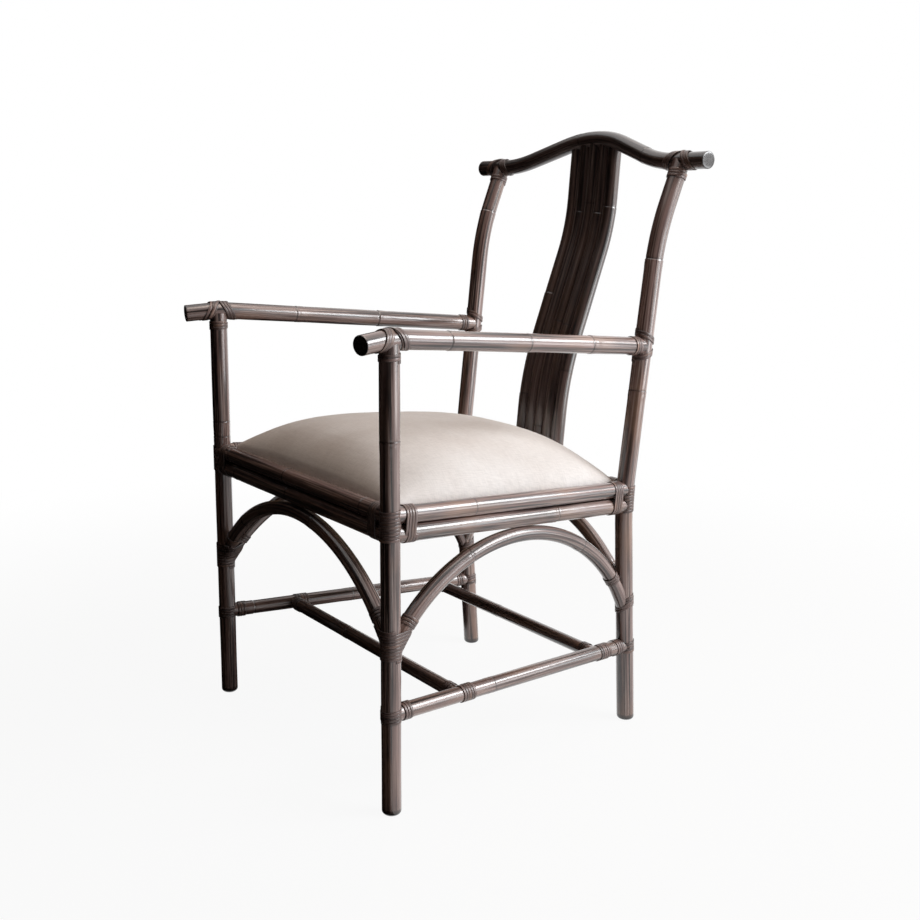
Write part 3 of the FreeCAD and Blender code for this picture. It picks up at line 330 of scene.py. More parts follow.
def cane_finish():
    """Dark streaky lacquer over rattan."""
    finish, tree, shader = new_finish("lacquered_cane")
    place = add_step(tree, "ShaderNodeAttribute", {"attribute_name": "cane_place"}).outputs["Vector"]
    tone = add_step(tree, "ShaderNodeAttribute", {"attribute_name": "cane_tone"}).outputs["Fac"]
    ring = add_step(tree, "ShaderNodeAttribute", {"attribute_name": "cane_ring_and_foot"}).outputs["Fac"]
    fibres = noise(tree, place, (420.0, 420.0, 7.0), detail=4.0)
    streaks = noise(tree, place, (220.0, 220.0, 3.5), detail=3.0)
    patches = noise(tree, place, (30.0, 30.0, 9.0), detail=2.0)
    streaked = ramp(tree, streaks, [(0.38, LACQUER_DEEP), (0.60, LACQUER_BROWN)])
    warm_share = ramp(tree, patches, [(0.52, grey(0.0)), (0.74, grey(0.6))])
    warmed = blend_colours(tree, warm_share, streaked, LACQUER_WARM)
    # Pale streaks along the fine fibres, spread evenly all round each pole.
    pale_fibre_share = ramp(tree, fibres, [(0.52, grey(0.0)), (0.72, grey(0.8))])
    pale_fibred = blend_colours(tree, pale_fibre_share, warmed, LACQUER_PALE_FIBRE)
    tint = ramp(tree, tone, [(0.0, grey(0.3)), (1.0, grey(1.2))])
    toned = blend_colours(tree, 1.0, pale_fibred, tint, "MULTIPLY")
    # Darkens the ring lines and the lowest few millimetres of each foot.
    ring_and_foot_darkened = blend_colours(tree, spread(tree, ring, 0.0, 0.75), toned, LACQUER_DEEP)
    tree.links.new(ring_and_foot_darkened, shader.inputs["Base Color"])
    tree.links.new(spread(tree, fibres, 0.26, 0.42), shader.inputs["Roughness"])
    shader.inputs["Specular IOR Level"].default_value = 0.5
    shader.inputs["Coat Weight"].default_value = 1.0
    shader.inputs["Coat Roughness"].default_value = 0.15
    bump = add_step(tree, "ShaderNodeBump", Height=fibres, Strength=0.4, Distance=0.0006)
    tree.links.new(bump.outputs["Normal"], shader.inputs["Normal"])
    return finish


def end_grain_finish():
    """Sawn end of a cane: dark lacquer soaked into a face of small pores."""
    finish, tree, shader = new_finish("sawn_cane_end")
    place = add_step(tree, "ShaderNodeAttribute", {"attribute_name": "cane_place"}).outputs["Vector"]
    pores = add_step(tree, "ShaderNodeTexVoronoi", Vector=place, Scale=900.0).outputs["Distance"]
    blotches = noise(tree, place, (160.0, 160.0, 160.0))
    tint = ramp(tree, pores, [(0.15, (0.004, 0.003, 0.003, 1.0)), (0.55, (0.022, 0.014, 0.012, 1.0))])
    soaked = blend_colours(tree, spread(tree, blotches, 0.0, 0.8), tint, (0.008, 0.006, 0.006, 1.0))
    tree.links.new(soaked, shader.inputs["Base Color"])
    tree.links.new(spread(tree, blotches, 0.22, 0.36), shader.inputs["Roughness"])
    shader.inputs["Specular IOR Level"].default_value = 0.65
    shader.inputs["Coat Weight"].default_value = 0.5
    shader.inputs["Coat Roughness"].default_value = 0.15
    bump = add_step(tree, "ShaderNodeBump", Height=pores, Strength=0.12, Distance=0.0003)
    tree.links.new(bump.outputs["Normal"], shader.inputs["Normal"])
    return finish


cane = cane_finish()
cane_end = end_grain_finish()
print("finishes:", cane.name, cane_end.name)

# %% [markdown]
# ## Lines that poles follow
# A bent pole is straight runs joined by arcs, because that is how cane is bent: heated and pulled
# round a former. The class below keeps evenly spaced points along such a line and a pair of sideways
# directions that never twist, so that streaks run true along the pole.

# %% Pole axes
MM = 0.001
AXIS_STEP = 2 * MM
ARC_SAMPLES = 40
STEEP = 0.7
UP = np.array([0.0, 0.0, 1.0])
ACROSS = np.array([1.0, 0.0, 0.0])


def unit(vector):
    """Vector or rows of vectors at length one."""
    return vector / np.linalg.norm(vector, axis=-1, keepdims=True)


def bent_line(corners, radii=()):
    """Points along straight runs, with a tangent arc at each inner corner."""
    corners = [np.array(corner, float) for corner in corners]
    points = [corners[0]]
    for before, corner, after, radius in zip(corners, corners[1:], corners[2:], radii):
        towards = unit(before - corner)
        onwards = unit(after - corner)
        turn = math.pi - math.acos(towards @ onwards)
        run = radius * math.tan(turn / 2)
        centre = corner + unit(towards + onwards) * (radius / math.cos(turn / 2))
        first = corner + towards * run - centre
        last = corner + onwards * run - centre
        for share in np.linspace(0, 1, ARC_SAMPLES):
            swing = first * math.sin((1 - share) * turn) + last * math.sin(share * turn)
            points.append(centre + swing / math.sin(turn))
    points.append(corners[-1])
    return np.array(points)


def arch_line(start, crown, end):
    """Points of the circular arc through three points."""
    first = crown - start
    second = end - start
    normal = np.cross(first, second)
    lift = np.cross(first @ first * second - second @ second * first, normal)
    centre = start + lift / (2 * normal @ normal)
    leaving = start - centre
    sideways = unit(np.cross(normal, leaving)) * np.linalg.norm(leaving)
    if sideways @ second < 0:
        sideways = -sideways
    arriving = end - centre
    sweep = math.atan2(arriving @ sideways, arriving @ leaving)
    swings = np.linspace(0, sweep, 4 * ARC_SAMPLES)
    return centre + np.outer(np.cos(swings), leaving) + np.outer(np.sin(swings), sideways)


class Pole:
    """Axis of one pole with its radius and a frame that doesn't twist."""

    def __init__(self, line, radius):
        steps = np.linalg.norm(np.diff(line, axis=0), axis=1)
        travelled = np.concatenate([[0.0], np.cumsum(steps)])
        count = int(travelled[-1] / AXIS_STEP) + 2
        self.radius = radius
        self.length = travelled[-1]
        self.places = np.linspace(0, self.length, count)
        columns = [np.interp(self.places, travelled, line[:, axis]) for axis in range(3)]
        self.points = np.stack(columns, axis=1)
        self.tangents = unit(np.gradient(self.points, axis=0))
        helper = UP if abs(self.tangents[0][2]) < STEEP else ACROSS
        sides = [unit(helper - self.tangents[0] * (helper @ self.tangents[0]))]
        for tangent in self.tangents[1:]:
            sides.append(unit(sides[-1] - tangent * (sides[-1] @ tangent)))
        self.sides = np.array(sides)

    def at(self, place):
        """Point, tangent and the two sideways directions at places along the axis."""
        rows = [
            np.stack([np.interp(place, self.places, table[:, axis]) for axis in range(3)], axis=-1)
            for table in (self.points, self.tangents, self.sides)
        ]
        tangent = unit(rows[1])
        side = unit(rows[2] - tangent * np.sum(rows[2] * tangent, axis=-1, keepdims=True))
        return rows[0], tangent, side, np.cross(tangent, side)

    def skin(self, place, angle, radius):
        """Points on a tube round the axis, and the outward directions there."""
        point, tangent, side, rise = self.at(place)
        outward = side * np.cos(angle)[..., None] + rise * np.sin(angle)[..., None]
        return point + outward * np.asarray(radius)[..., None], outward

    def near(self, target):
        """Place along the axis that lies nearest to a point."""
        return self.places[np.argmin(np.linalg.norm(self.points - target, axis=1))]

    def angle_of(self, place, direction):
        """Angle round the axis at which a direction points."""
        _, _, side, rise = self.at(place)
        return math.atan2(direction @ rise, direction @ side)


def clearance(points, carriers):
    """Least distance from points to the surfaces of other poles, below zero inside them."""
    least = np.full(points.shape[:-1], np.inf)
    flat = points.reshape(-1, 3)
    for carrier in carriers:
        squares = ((flat[:, None, :] - carrier.points[None, :, :]) ** 2).sum(axis=2)
        nearest = squares.argmin(axis=1)
        offset = flat - carrier.points[nearest]
        along = (offset * carrier.tangents[nearest]).sum(axis=1)
        beyond = ((nearest == 0) & (along < 0)) | ((nearest == len(carrier.points) - 1) & (along > 0))
        along[beyond] = 0.0
        away = np.sqrt(np.maximum((offset ** 2).sum(axis=1) - along ** 2, 0.0))
        least = np.minimum(least, (away - carrier.radius).reshape(points.shape[:-1]))
    return least


print("pole axes ready")

# %% [markdown]
# ## Where the poles run
# These are the chair's own measures, the same ones that its solids were made with. The legs stand on
# the four feet, the rails, arches and stretchers run between the legs, and the back rises from the
# rear rail. All lengths are in metres.

# %% The chair's lines
SIDES = {"left": 1, "right": -1}
LEG_RADIUS = 14.3 * MM
CREST_RADIUS = 14.0 * MM
ARM_RADIUS = 14.0 * MM
RAIL_RADIUS = 13.0 * MM
ARCH_RADIUS = 11.5 * MM
STRETCHER_RADIUS = 12.0 * MM
CROSS_RADIUS = 10.8 * MM
SPLAT_RADIUS = 11.7 * MM
HALF_GAP = 0.1 * MM
RAIL_OFFSET = RAIL_RADIUS + HALF_GAP
SEAT_DEPTH = 479 * MM
KNEE_HEIGHT = 383 * MM
FOOT_SET_BACK = 24 * MM
HALF_REAR_FOOT = 218.5 * MM
HALF_REAR_TOP = 230 * MM
POST_BEND_HEIGHT = 808 * MM
POST_LEAN = math.radians(6.72)
POST_TOP_LEAN = math.radians(22)
POST_BENDS = (0.5, 0.4)
CREST_HEIGHT = 924.5 * MM
CREST_SHOULDER = 180 * MM
CREST_OVERHANG = 56.5 * MM
CREST_SLOPE = math.radians(20.3)
CREST_TILT = math.radians(33.5)
CREST_BEND = 0.207
ARM_FRONT_HEIGHT = 681 * MM
ARM_REAR_HEIGHT = 634 * MM
ARM_NOSE = np.array([13.7, -53.5, -4.0]) * MM
ARM_BEND = 0.2
RAIL_FRONT_HEIGHT = 425.3 * MM
RAIL_REAR_HEIGHT = 389.4 * MM
LEG_LIP = 4.7 * MM
BELOW_FLOOR = 20 * MM

leg_low, leg_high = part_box("front_leg_left")
half_front = (leg_low.x + leg_high.x) / 2
front_y = (leg_low.y + leg_high.y) / 2
rear_y = front_y + SEAT_DEPTH
bend_set_back = (POST_BEND_HEIGHT - KNEE_HEIGHT) * math.tan(POST_LEAN)
crest_set_back = bend_set_back + (CREST_HEIGHT - POST_BEND_HEIGHT) * math.tan(POST_TOP_LEAN)
poles = {}


def leg_point(name, height):
    """Point of a front leg's axis."""
    return np.array([SIDES[name] * half_front, front_y, height])


def post_corner(name, set_back, height):
    """Corner of a rear post's line."""
    share = height / CREST_HEIGHT
    half = HALF_REAR_FOOT + (HALF_REAR_TOP - HALF_REAR_FOOT) * share
    return np.array([SIDES[name] * half, rear_y + set_back, height])


def post_point(name, height):
    """Point of a rear post's axis."""
    post = poles["rear_post_" + name]
    return post.at(np.interp(height, post.points[:, 2], post.places))[0]


def make_uprights():
    """Front legs and rear posts."""
    rake = FOOT_SET_BACK / KNEE_HEIGHT
    for name in SIDES:
        leg = [leg_point(name, 0), leg_point(name, ARM_FRONT_HEIGHT - LEG_LIP)]
        poles["front_leg_" + name] = Pole(bent_line(leg), LEG_RADIUS)
        post = [
            post_corner(name, FOOT_SET_BACK + rake * BELOW_FLOOR, -BELOW_FLOOR),
            post_corner(name, 0.0, KNEE_HEIGHT),
            post_corner(name, bend_set_back, POST_BEND_HEIGHT),
            post_corner(name, crest_set_back, CREST_HEIGHT),
        ]
        poles["rear_post_" + name] = Pole(bent_line(post, POST_BENDS), LEG_RADIUS)


def crest_point(x, rise):
    """Point of the crest rail, whose hump leans back."""
    y = rear_y + crest_set_back + rise * math.sin(CREST_TILT)
    return np.array([x, y, CREST_HEIGHT + rise * math.cos(CREST_TILT)])


def make_crest_and_arms():
    """Crest rail and arm rails."""
    half = HALF_REAR_TOP + CREST_OVERHANG
    flank = CREST_SHOULDER * math.tan(CREST_SLOPE)
    crest = [crest_point(x, rise) for x, rise in
             ((-half, 0), (-CREST_SHOULDER, 0), (0, flank), (CREST_SHOULDER, 0), (half, 0))]
    poles["crest_rail"] = Pole(bent_line(crest, (CREST_BEND,) * 3), CREST_RADIUS)
    for name, side in SIDES.items():
        over_leg = leg_point(name, ARM_FRONT_HEIGHT)
        arm = [post_point(name, ARM_REAR_HEIGHT), over_leg, over_leg + ARM_NOSE * (side, 1, 1)]
        poles["arm_rail_" + name] = Pole(bent_line(arm, (ARM_BEND,)), ARM_RADIUS)


def span_ends(place, front_height, rear_height):
    """Axis points between which a rail or arch runs."""
    if place == "front":
        return leg_point("right", front_height), leg_point("left", front_height)
    if place == "rear":
        return post_point("right", rear_height), post_point("left", rear_height)
    return leg_point(place, front_height), post_point(place, rear_height)


PLACES = ("front", "rear", "left", "right")
ARCH_FEET = {"front": (251, 0), "rear": (0, 211), "left": (239, 193), "right": (239, 193)}
ARCH_GAP = 0.9 * MM


def make_rails_and_arches():
    """Stacked pairs of seat rails and the arches that touch them from below."""
    for place in PLACES:
        start, end = span_ends(place, RAIL_FRONT_HEIGHT, RAIL_REAR_HEIGHT)
        for level, lift in (("upper", RAIL_OFFSET), ("lower", -RAIL_OFFSET)):
            line = bent_line([start + UP * lift, end + UP * lift])
            poles["seat_rail_%s_%s" % (place, level)] = Pole(line, RAIL_RADIUS)
        along = unit(end - start)
        down = unit(along * (along @ UP) - UP)
        crown = (start + end) / 2 - UP * RAIL_OFFSET + down * (RAIL_RADIUS + ARCH_GAP + ARCH_RADIUS)
        front_foot, rear_foot = ARCH_FEET[place]
        first, last = span_ends(place, front_foot * MM, rear_foot * MM)
        poles["arch_brace_" + place] = Pole(arch_line(first, crown, last), ARCH_RADIUS)


STRETCHER_FRONT_HEIGHT = 150 * MM
STRETCHER_REAR_HEIGHT = 132.6 * MM
CROSS_DEPTHS = {"front": 126 * MM, "rear": SEAT_DEPTH - 58 * MM}


def make_stretchers():
    """Side stretchers and the cross stretchers between them."""
    crossings = {place: [] for place in CROSS_DEPTHS}
    for name in ("right", "left"):
        start, end = span_ends(name, STRETCHER_FRONT_HEIGHT, STRETCHER_REAR_HEIGHT)
        poles["side_stretcher_" + name] = Pole(bent_line([start, end]), STRETCHER_RADIUS)
        for place, depth in CROSS_DEPTHS.items():
            crossings[place].append(start + (end - start) * depth / (end[1] - start[1]))
    for place, ends in crossings.items():
        poles["cross_stretcher_" + place] = Pole(bent_line(ends), CROSS_RADIUS)


SPLAT_COUNT = 5
SPLAT_LOW_BEND = 566 * MM
SPLAT_HIGH_BEND = 819 * MM
SPLAT_FOOT_LEAN = math.radians(5.7)
SPLAT_TOP_LEAN = math.radians(4.8)
SPLAT_BENDS = (0.52, 0.365)


def make_splat():
    """Upright poles of the back, bent to an S."""
    crest = poles["crest_rail"]
    rail = poles["seat_rail_rear_upper"].points[0]
    crest_y = crest.points[np.argmin(np.abs(crest.points[:, 0]))][1]
    for number in range(1, SPLAT_COUNT + 1):
        x = (number - (SPLAT_COUNT + 1) / 2) * 2 * (SPLAT_RADIUS + HALF_GAP)
        head_z = np.interp(x, crest.points[:, 0], crest.points[:, 2])
        low_y = rail[1] + (SPLAT_LOW_BEND - rail[2]) * math.tan(SPLAT_FOOT_LEAN)
        high_y = crest_y - (head_z - SPLAT_HIGH_BEND) * math.tan(SPLAT_TOP_LEAN)
        line = [
            (x, rail[1], rail[2]),
            (x, low_y, SPLAT_LOW_BEND),
            (x, high_y, SPLAT_HIGH_BEND),
            (x, crest_y, head_z),
        ]
        poles["splat_pole_%d" % number] = Pole(bent_line(line, SPLAT_BENDS), SPLAT_RADIUS)


make_uprights()
make_crest_and_arms()
make_rails_and_arches()
make_stretchers()
make_splat()
print("poles:", len(poles), "with", round(sum(pole.length for pole in poles.values()), 2), "m of cane")

# %% [markdown]
# ## Canes with rings
# A cane is no tube. It has a ring every hand's breadth or so, where a leaf sheath once grew: a small
# ridge, then a shallow groove. Between rings it swells and narrows a little. The mesh gets extra
# stations at each ring, so the ridge is real geometry. Rings that the photograph shows are given by
# their distance along the pole in millimetres; the other poles get rings at uneven distances. Where
# an end butts on another pole, every line along its skin is cut where it meets that pole, which gives
# the fishmouth a maker files.

# %% Cane meshes
ROUND = 40
ANGLES = np.linspace(0, 2 * math.pi, ROUND, endpoint=False)
STATION_STEP = 9 * MM
END_RUN = 7 * MM
CAP_SHARES = (1.0, 0.62, 0.3)
CUT_ROWS = ((1.0, 0.9), (0.975, 0.25), (0.92, 0.0), (0.6, 0.0), (0.3, 0.0))
FOOT_ROUNDING = 6 * MM
FOOT_CENTRE_SHARE = 0.35
RING_STATIONS = np.array([-14, -9, -6, -4, -2.6, -1.6, -0.8, 0, 0.8, 1.6, 2.4, 3.3, 4.4, 6, 9, 14]) * MM
LEAST_STEP = 0.5 * MM
FIRST_RING = (0.04, 0.16)
INTERNODES = (0.17, 0.29)
SEEN_RINGS = {
    "arm_rail_left": (126, 258, 410), "arm_rail_right": (208, 370), "arch_brace_left": (188, 431),
    "front_leg_left": (541,), "front_leg_right": (463, 489), "rear_post_left": (583, 793),
    "rear_post_right": (867,), "seat_rail_left_upper": (148,), "seat_rail_left_lower": (319,),
    "cross_stretcher_front": (195,), "cross_stretcher_rear": (201,), "side_stretcher_left": (190,),
    "splat_pole_5": (171, 465),
}
CANE_TONES = (0.62, 1.0)
# The splat and crest poles take their tones from this much darker range, and their rings stand less proud.
DARK_TONES = (0.0, 0.12)
DARK_POLES = ("splat", "crest")
DARK_RELIEF = 0.45
FOOT_BAND = 9 * MM
RING_LINE = 2 * MM
RING_LINE_WIDTH = 1.3 * MM
SWELL_STEP = 0.03
PLACE_SPREAD = 50
START_RUN = (0.35, 0.7)
CLOSING_RUN = (0.3, 0.65)
SHARP_ANGLE = math.radians(55)
BISECTIONS = 22
rng = np.random.default_rng(24)


def ring_profile(offset):
    """Height of the skin near a ring: a swelling before it, a sharp ridge and a groove after it."""
    swelling = 0.35 * MM * np.exp(-((offset + 6 * MM) / (6 * MM)) ** 2)
    ridge = 0.32 * MM * np.exp(-(offset / (1.6 * MM)) ** 2)
    groove = -0.3 * MM * np.exp(-((offset - 2.4 * MM) / (1.2 * MM)) ** 2)
    return swelling + ridge + groove


def coped_rows(pole, carriers, at_end):
    """Rows of an end that butts on carriers: the rim first, then the hollow of the fishmouth."""
    rows = []
    for share in CAP_SHARES:
        free = np.full(ROUND, pole.length / 2)
        buried = np.full(ROUND, pole.length if at_end else 0.0)
        for _ in range(BISECTIONS):
            middle = (free + buried) / 2
            points, _ = pole.skin(middle, ANGLES, np.full(ROUND, pole.radius * share))
            clear = clearance(points, carriers) > 0
            free = np.where(clear, middle, free)
            buried = np.where(clear, buried, middle)
        rows.append((share, free))
    return rows


def cut_rows(pole, at_end):
    """Rows of a square saw cut with its edge eased."""
    inward = -1 if at_end else 1
    limit = pole.length if at_end else 0.0
    return [(share, np.full(ROUND, limit + inward * back * MM)) for share, back in CUT_ROWS]


def foot_rows(pole):
    """Rows of a foot that stands level on the floor, with a rounded edge."""
    rows = []
    level = FOOT_ROUNDING / pole.radius
    for turn in np.linspace(math.pi / 2, 0, 6):
        share = 1 - level + level * math.sin(turn)
        rows.append((share, FOOT_ROUNDING * (1 - math.cos(turn))))
    rows.append((FOOT_CENTRE_SHARE, 0.0))
    placed = []
    for share, height in rows:
        point, tangent, side, rise = pole.at(np.zeros(ROUND))
        outward = side * np.cos(ANGLES)[:, None] + rise * np.sin(ANGLES)[:, None]
        start = point[:, 2] + outward[:, 2] * pole.radius * share
        placed.append((share, (height - start) / tangent[:, 2]))
    return placed


def add_object(name, vertices, faces, finishes, finish_numbers=None):
    """Smooth mesh object from plain lists."""
    mesh = bpy.data.meshes.new(name)
    mesh.from_pydata([tuple(vertex) for vertex in vertices], [], faces)
    for finish in finishes:
        mesh.materials.append(finish)
    if finish_numbers is not None:
        mesh.polygons.foreach_set("material_index", finish_numbers)
    mesh.polygons.foreach_set("use_smooth", [True] * len(mesh.polygons))
    mesh.update()
    piece = bpy.data.objects.new(name, mesh)
    bpy.context.scene.collection.objects.link(piece)
    return piece


def write_values(piece, name, values):
    """Keep a number, or three, for each vertex of a piece."""
    values = np.asarray(values, np.float32)
    if values.ndim == 2:
        attribute = piece.data.attributes.new(name, "FLOAT_VECTOR", "POINT")
        attribute.data.foreach_set("vector", values.ravel())
    else:
        attribute = piece.data.attributes.new(name, "FLOAT", "POINT")
        attribute.data.foreach_set("value", values)


def ring_places(name, pole):
    """Rings that the photograph shows, or else rings at uneven distances."""
    if name in SEEN_RINGS:
        return np.array(SEEN_RINGS[name]) * MM
    places = []
    place = rng.uniform(*FIRST_RING)
    while place < pole.length:
        places.append(place)
        place += rng.uniform(*INTERNODES)
    return np.array(places)


def station_places(first, last, rings):
    """Stations along the skin: an even spacing, and closer ones at each ring."""
    even = np.linspace(first, last, max(2, int((last - first) / STATION_STEP)))
    close = (rings[:, None] + RING_STATIONS[None, :]).ravel()
    places = np.sort(np.concatenate([even, close[(close > first) & (close < last)]]))
    keep = [places[0]]
    for place in places[1:]:
        if place - keep[-1] > LEAST_STEP:
            keep.append(place)
    keep[-1] = last
    return keep


def cane_wave(place, phase):
    """Slow waves of a cane's radius along it and round it."""
    along = 0.008 * np.sin(place / 0.031 + phase[0])
    return 1 + along + 0.006 * np.cos(2 * ANGLES + place / 0.09 + phase[1])


def cane_object(name, pole, start_rows, end_rows, rings):
    """Cane with rings, eased waves of its radius and both ends shaped."""
    first = start_rows[0][1].max() + END_RUN
    last = end_rows[0][1].min() - END_RUN
    rows = list(reversed(start_rows))
    start_count = len(rows)
    rows += [(1.0, start_rows[0][1] + (first - start_rows[0][1]) * share) for share in START_RUN]
    rows += [(1.0, np.full(ROUND, place)) for place in station_places(first, last, rings)]
    rows += [(1.0, last + (end_rows[0][1] - last) * share) for share in CLOSING_RUN]
    end_at = len(rows)
    rows += list(end_rows)
    phase = rng.uniform(0, 2 * math.pi, 3)
    dark = name.startswith(DARK_POLES)
    tones = rng.uniform(*(DARK_TONES if dark else CANE_TONES), len(rings) + 1)
    swells = np.cumsum(rng.uniform(-SWELL_STEP, SWELL_STEP, len(rings) + 1))
    swells -= swells.mean()
    offset = rng.uniform(0, PLACE_SPREAD)
    vertices, places, tone, ring = [], [], [], []
    for share, place in rows:
        wave = cane_wave(place, phase) + swells[np.searchsorted(rings, place)]
        gaps = place[:, None] - rings[None, :] if len(rings) else np.full((ROUND, 1), 1.0)
        bump = ring_profile(gaps).sum(axis=1) * (DARK_RELIEF if dark else 1.0)
        points, _ = pole.skin(place, ANGLES, (pole.radius * wave + bump) * share)
        vertices.append(points)
        across = np.stack([np.cos(ANGLES), np.sin(ANGLES)], axis=1) * pole.radius * share
        places.append(np.column_stack([across, place + offset]))
        tone.append(tones[np.searchsorted(rings, place)])
        line = np.exp(-(np.abs(gaps - RING_LINE).min(axis=1) / RING_LINE_WIDTH) ** 2)
        # A thin dark line just past each ring, and darkening all round the lowest few millimetres of each
        # foot.
        ring.append(np.where(points[:, 2] < FOOT_BAND, 1.0, line))
    faces, finish_numbers = [], []
    for row in range(len(rows) - 1):
        capped = row < start_count - 1 or row >= end_at
        for column in range(ROUND):
            following = (column + 1) % ROUND
            faces.append((row * ROUND + column, row * ROUND + following,
                          (row + 1) * ROUND + following, (row + 1) * ROUND + column))
            finish_numbers.append(1 if capped else 0)
    for row, turned in ((0, True), (len(rows) - 1, False)):
        rim = [row * ROUND + column for column in range(ROUND)]
        middle = len(rows) * ROUND + (0 if turned else 1)
        for column in range(ROUND):
            pair = (rim[column], rim[(column + 1) % ROUND])
            faces.append((pair[1], pair[0], middle) if turned else (pair[0], pair[1], middle))
            finish_numbers.append(1)
    centres = [vertices[0].mean(axis=0), vertices[-1].mean(axis=0)]
    everything = np.vstack(vertices + [np.array(centres)])
    piece = add_object(name, everything, faces, [cane, cane_end], finish_numbers)
    ends = [places[0].mean(axis=0), places[-1].mean(axis=0)]
    write_values(piece, "cane_place", np.vstack(places + [np.array(ends)]))
    write_values(piece, "cane_tone", np.concatenate(tone + [tone[0][:1], tone[-1][:1]]))
    write_values(piece, "cane_ring_and_foot", np.concatenate(ring + [np.zeros(2)]))
    return piece


def carriers_of(name):
    """Poles on which the start and the end of a pole butt; None is a free end."""
    place = name.split("_")[2] if name.startswith(("seat_rail", "arch_brace")) else name.rsplit("_", 1)[1]
    ends = {"front": ("front_leg_right", "front_leg_left"), "rear": ("rear_post_right", "rear_post_left")}
    start, end = ends.get(place, ("front_leg_" + place, "rear_post_" + place))
    if name.startswith("seat_rail"):
        level = name.rsplit("_", 1)[1]
        if place in SIDES:
            return [start, "seat_rail_front_" + level], [end, "seat_rail_rear_" + level]
        return [start], [end]
    if name.startswith("arch_brace"):
        if place in SIDES:
            return [start, "arch_brace_front"], [end, "arch_brace_rear"]
        return [start], [end]
    if name.startswith("side_stretcher"):
        return [start], [end]
    if name.startswith("cross_stretcher"):
        return ["side_stretcher_right"], ["side_stretcher_left"]
    if name.startswith("splat_pole"):
        return ["seat_rail_rear_upper"], ["crest_rail"]
    if name.startswith("arm_rail"):
        return ["rear_post_" + place], None
    if name.startswith("front_leg"):
        return None, ["arm_rail_" + place]
    if name.startswith("rear_post"):
        return None, ["crest_rail"]
    return None, None


def make_canes():
    """One dressed cane for each pole of the frame."""
    for name, pole in poles.items():
        start, end = carriers_of(name)
        if name.startswith(("front_leg", "rear_post")):
            start_rows = foot_rows(pole)
        elif start:
            start_rows = coped_rows(pole, [poles[carrier] for carrier in start], at_end=False)
        else:
            start_rows = cut_rows(pole, at_end=False)
        if end:
            end_rows = coped_rows(pole, [poles[carrier] for carrier in end], at_end=True)
        else:
            end_rows = cut_rows(pole, at_end=True)
        piece = cane_object(name + "_cane", pole, start_rows, end_rows, ring_places(name, pole))
        piece.data.set_sharp_from_angle(angle=SHARP_ANGLE)
        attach(piece, "root")
        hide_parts(name)


make_canes()
print("canes made:", len(poles))

# %% [markdown]
# ## Peel for the bindings
# Each joint is bound with flat strips split from the cane's skin. A strip is a few millimetres wide,
# flat inside and slightly crowned outside. A curve with a bevel could draw it, but the bevel turns
# with the curve and would not stay flat on the pole. Here each strip is swept by hand: every point of
# its line knows which way is outward, so the flat side always lies on the cane.

# %% Finish of the peel


def peel_finish():
    """Lacquered peel: fibres along the strip, painted shade at its edges and a tone of its own for each
    strip.
    """
    finish, tree, shader = new_finish("lacquered_peel")
    place = add_step(tree, "ShaderNodeAttribute", {"attribute_name": "peel_place"}).outputs["Vector"]
    tone = add_step(tree, "ShaderNodeAttribute", {"attribute_name": "peel_tone"}).outputs["Fac"]
    edge = add_step(tree, "ShaderNodeAttribute", {"attribute_name": "peel_edge_shade"}).outputs["Fac"]
    fibres = noise(tree, place, (1500.0, 16.0, 1.0), detail=3.0)
    patches = noise(tree, place, (60.0, 30.0, 1.0), detail=2.0)
    fibred = ramp(tree, fibres, [(0.32, LACQUER_DEEP), (0.70, LACQUER_BROWN)])
    warm_share = ramp(tree, patches, [(0.50, grey(0.0)), (0.78, grey(0.6))])
    warm = blend_colours(tree, warm_share, fibred, LACQUER_WARM)
    tint = ramp(tree, tone, [(0.0, grey(0.6)), (1.0, grey(1.3))])
    toned = blend_colours(tree, 1.0, warm, tint, "MULTIPLY")
    # Painted shade: each strip darkens toward its edges, where it meets the next strip.
    edge_shade_share = ramp(tree, edge, [(0.76, grey(0.0)), (1.0, grey(0.95))])
    edge_shaded = blend_colours(tree, edge_shade_share, toned, LACQUER_DEEP)
    tree.links.new(edge_shaded, shader.inputs["Base Color"])
    tree.links.new(spread(tree, fibres, 0.34, 0.50), shader.inputs["Roughness"])
    shader.inputs["Specular IOR Level"].default_value = 0.5
    shader.inputs["Coat Weight"].default_value = 0.5
    shader.inputs["Coat Roughness"].default_value = 0.28
    bump = add_step(tree, "ShaderNodeBump", Height=fibres, Strength=0.18, Distance=0.0004)
    tree.links.new(bump.outputs["Normal"], shader.inputs["Normal"])
    return finish


peel = peel_finish()
print("finish:", peel.name)

# %% [markdown]
# ## Strips and windings
# Four ways of binding cover all joints. A winding runs round one pole, and dips out of sight where a
# rail is in its way, or it runs round a stacked pair. A web wraps a leg together with the arches that
# lean on it. Straddling strips hold a pole down on the end of another one and draw together on the
# far side, and one strip crosses over them. Each band is one unbroken strip, as a binder would wind it.

# %% Ways of binding
STRIP_WIDTH = 4.7 * MM
STRIP_THICKNESS = 1.1 * MM
STRIP_PITCH = 4.8 * MM
STRIP_CLEARANCE = 0.2 * MM
STRIP_SECTION = np.array([
    (-1.0, 0.50), (-0.90, 0.88), (-0.46, 0.98), (0.0, 1.0), (0.46, 0.98), (0.90, 0.88), (1.0, 0.50),
    (0.9, -0.35), (-0.9, -0.35),
])
STRIP_WAVE = 0.03
WAVE_LENGTH = 11 * MM
TONE_LENGTH = 80 * MM
STRIP_SPREAD = 20
SHORTEST_RUN = 3
TURN_SAMPLES = 56
PAIR_SAMPLES = 1.6 * TURN_SAMPLES
TUCK_LENGTH = 5 * MM
TUCKED_SHARE = 0.3
STRADDLE_FAR = 2.8 * MM
STRADDLE_LIFT = 1.0 * MM
STRADDLE_GAP = 0.6 * MM
CROSSING_LIFT = 0.8 * STRIP_THICKNESS
CROSSING_SWING = math.radians(135)


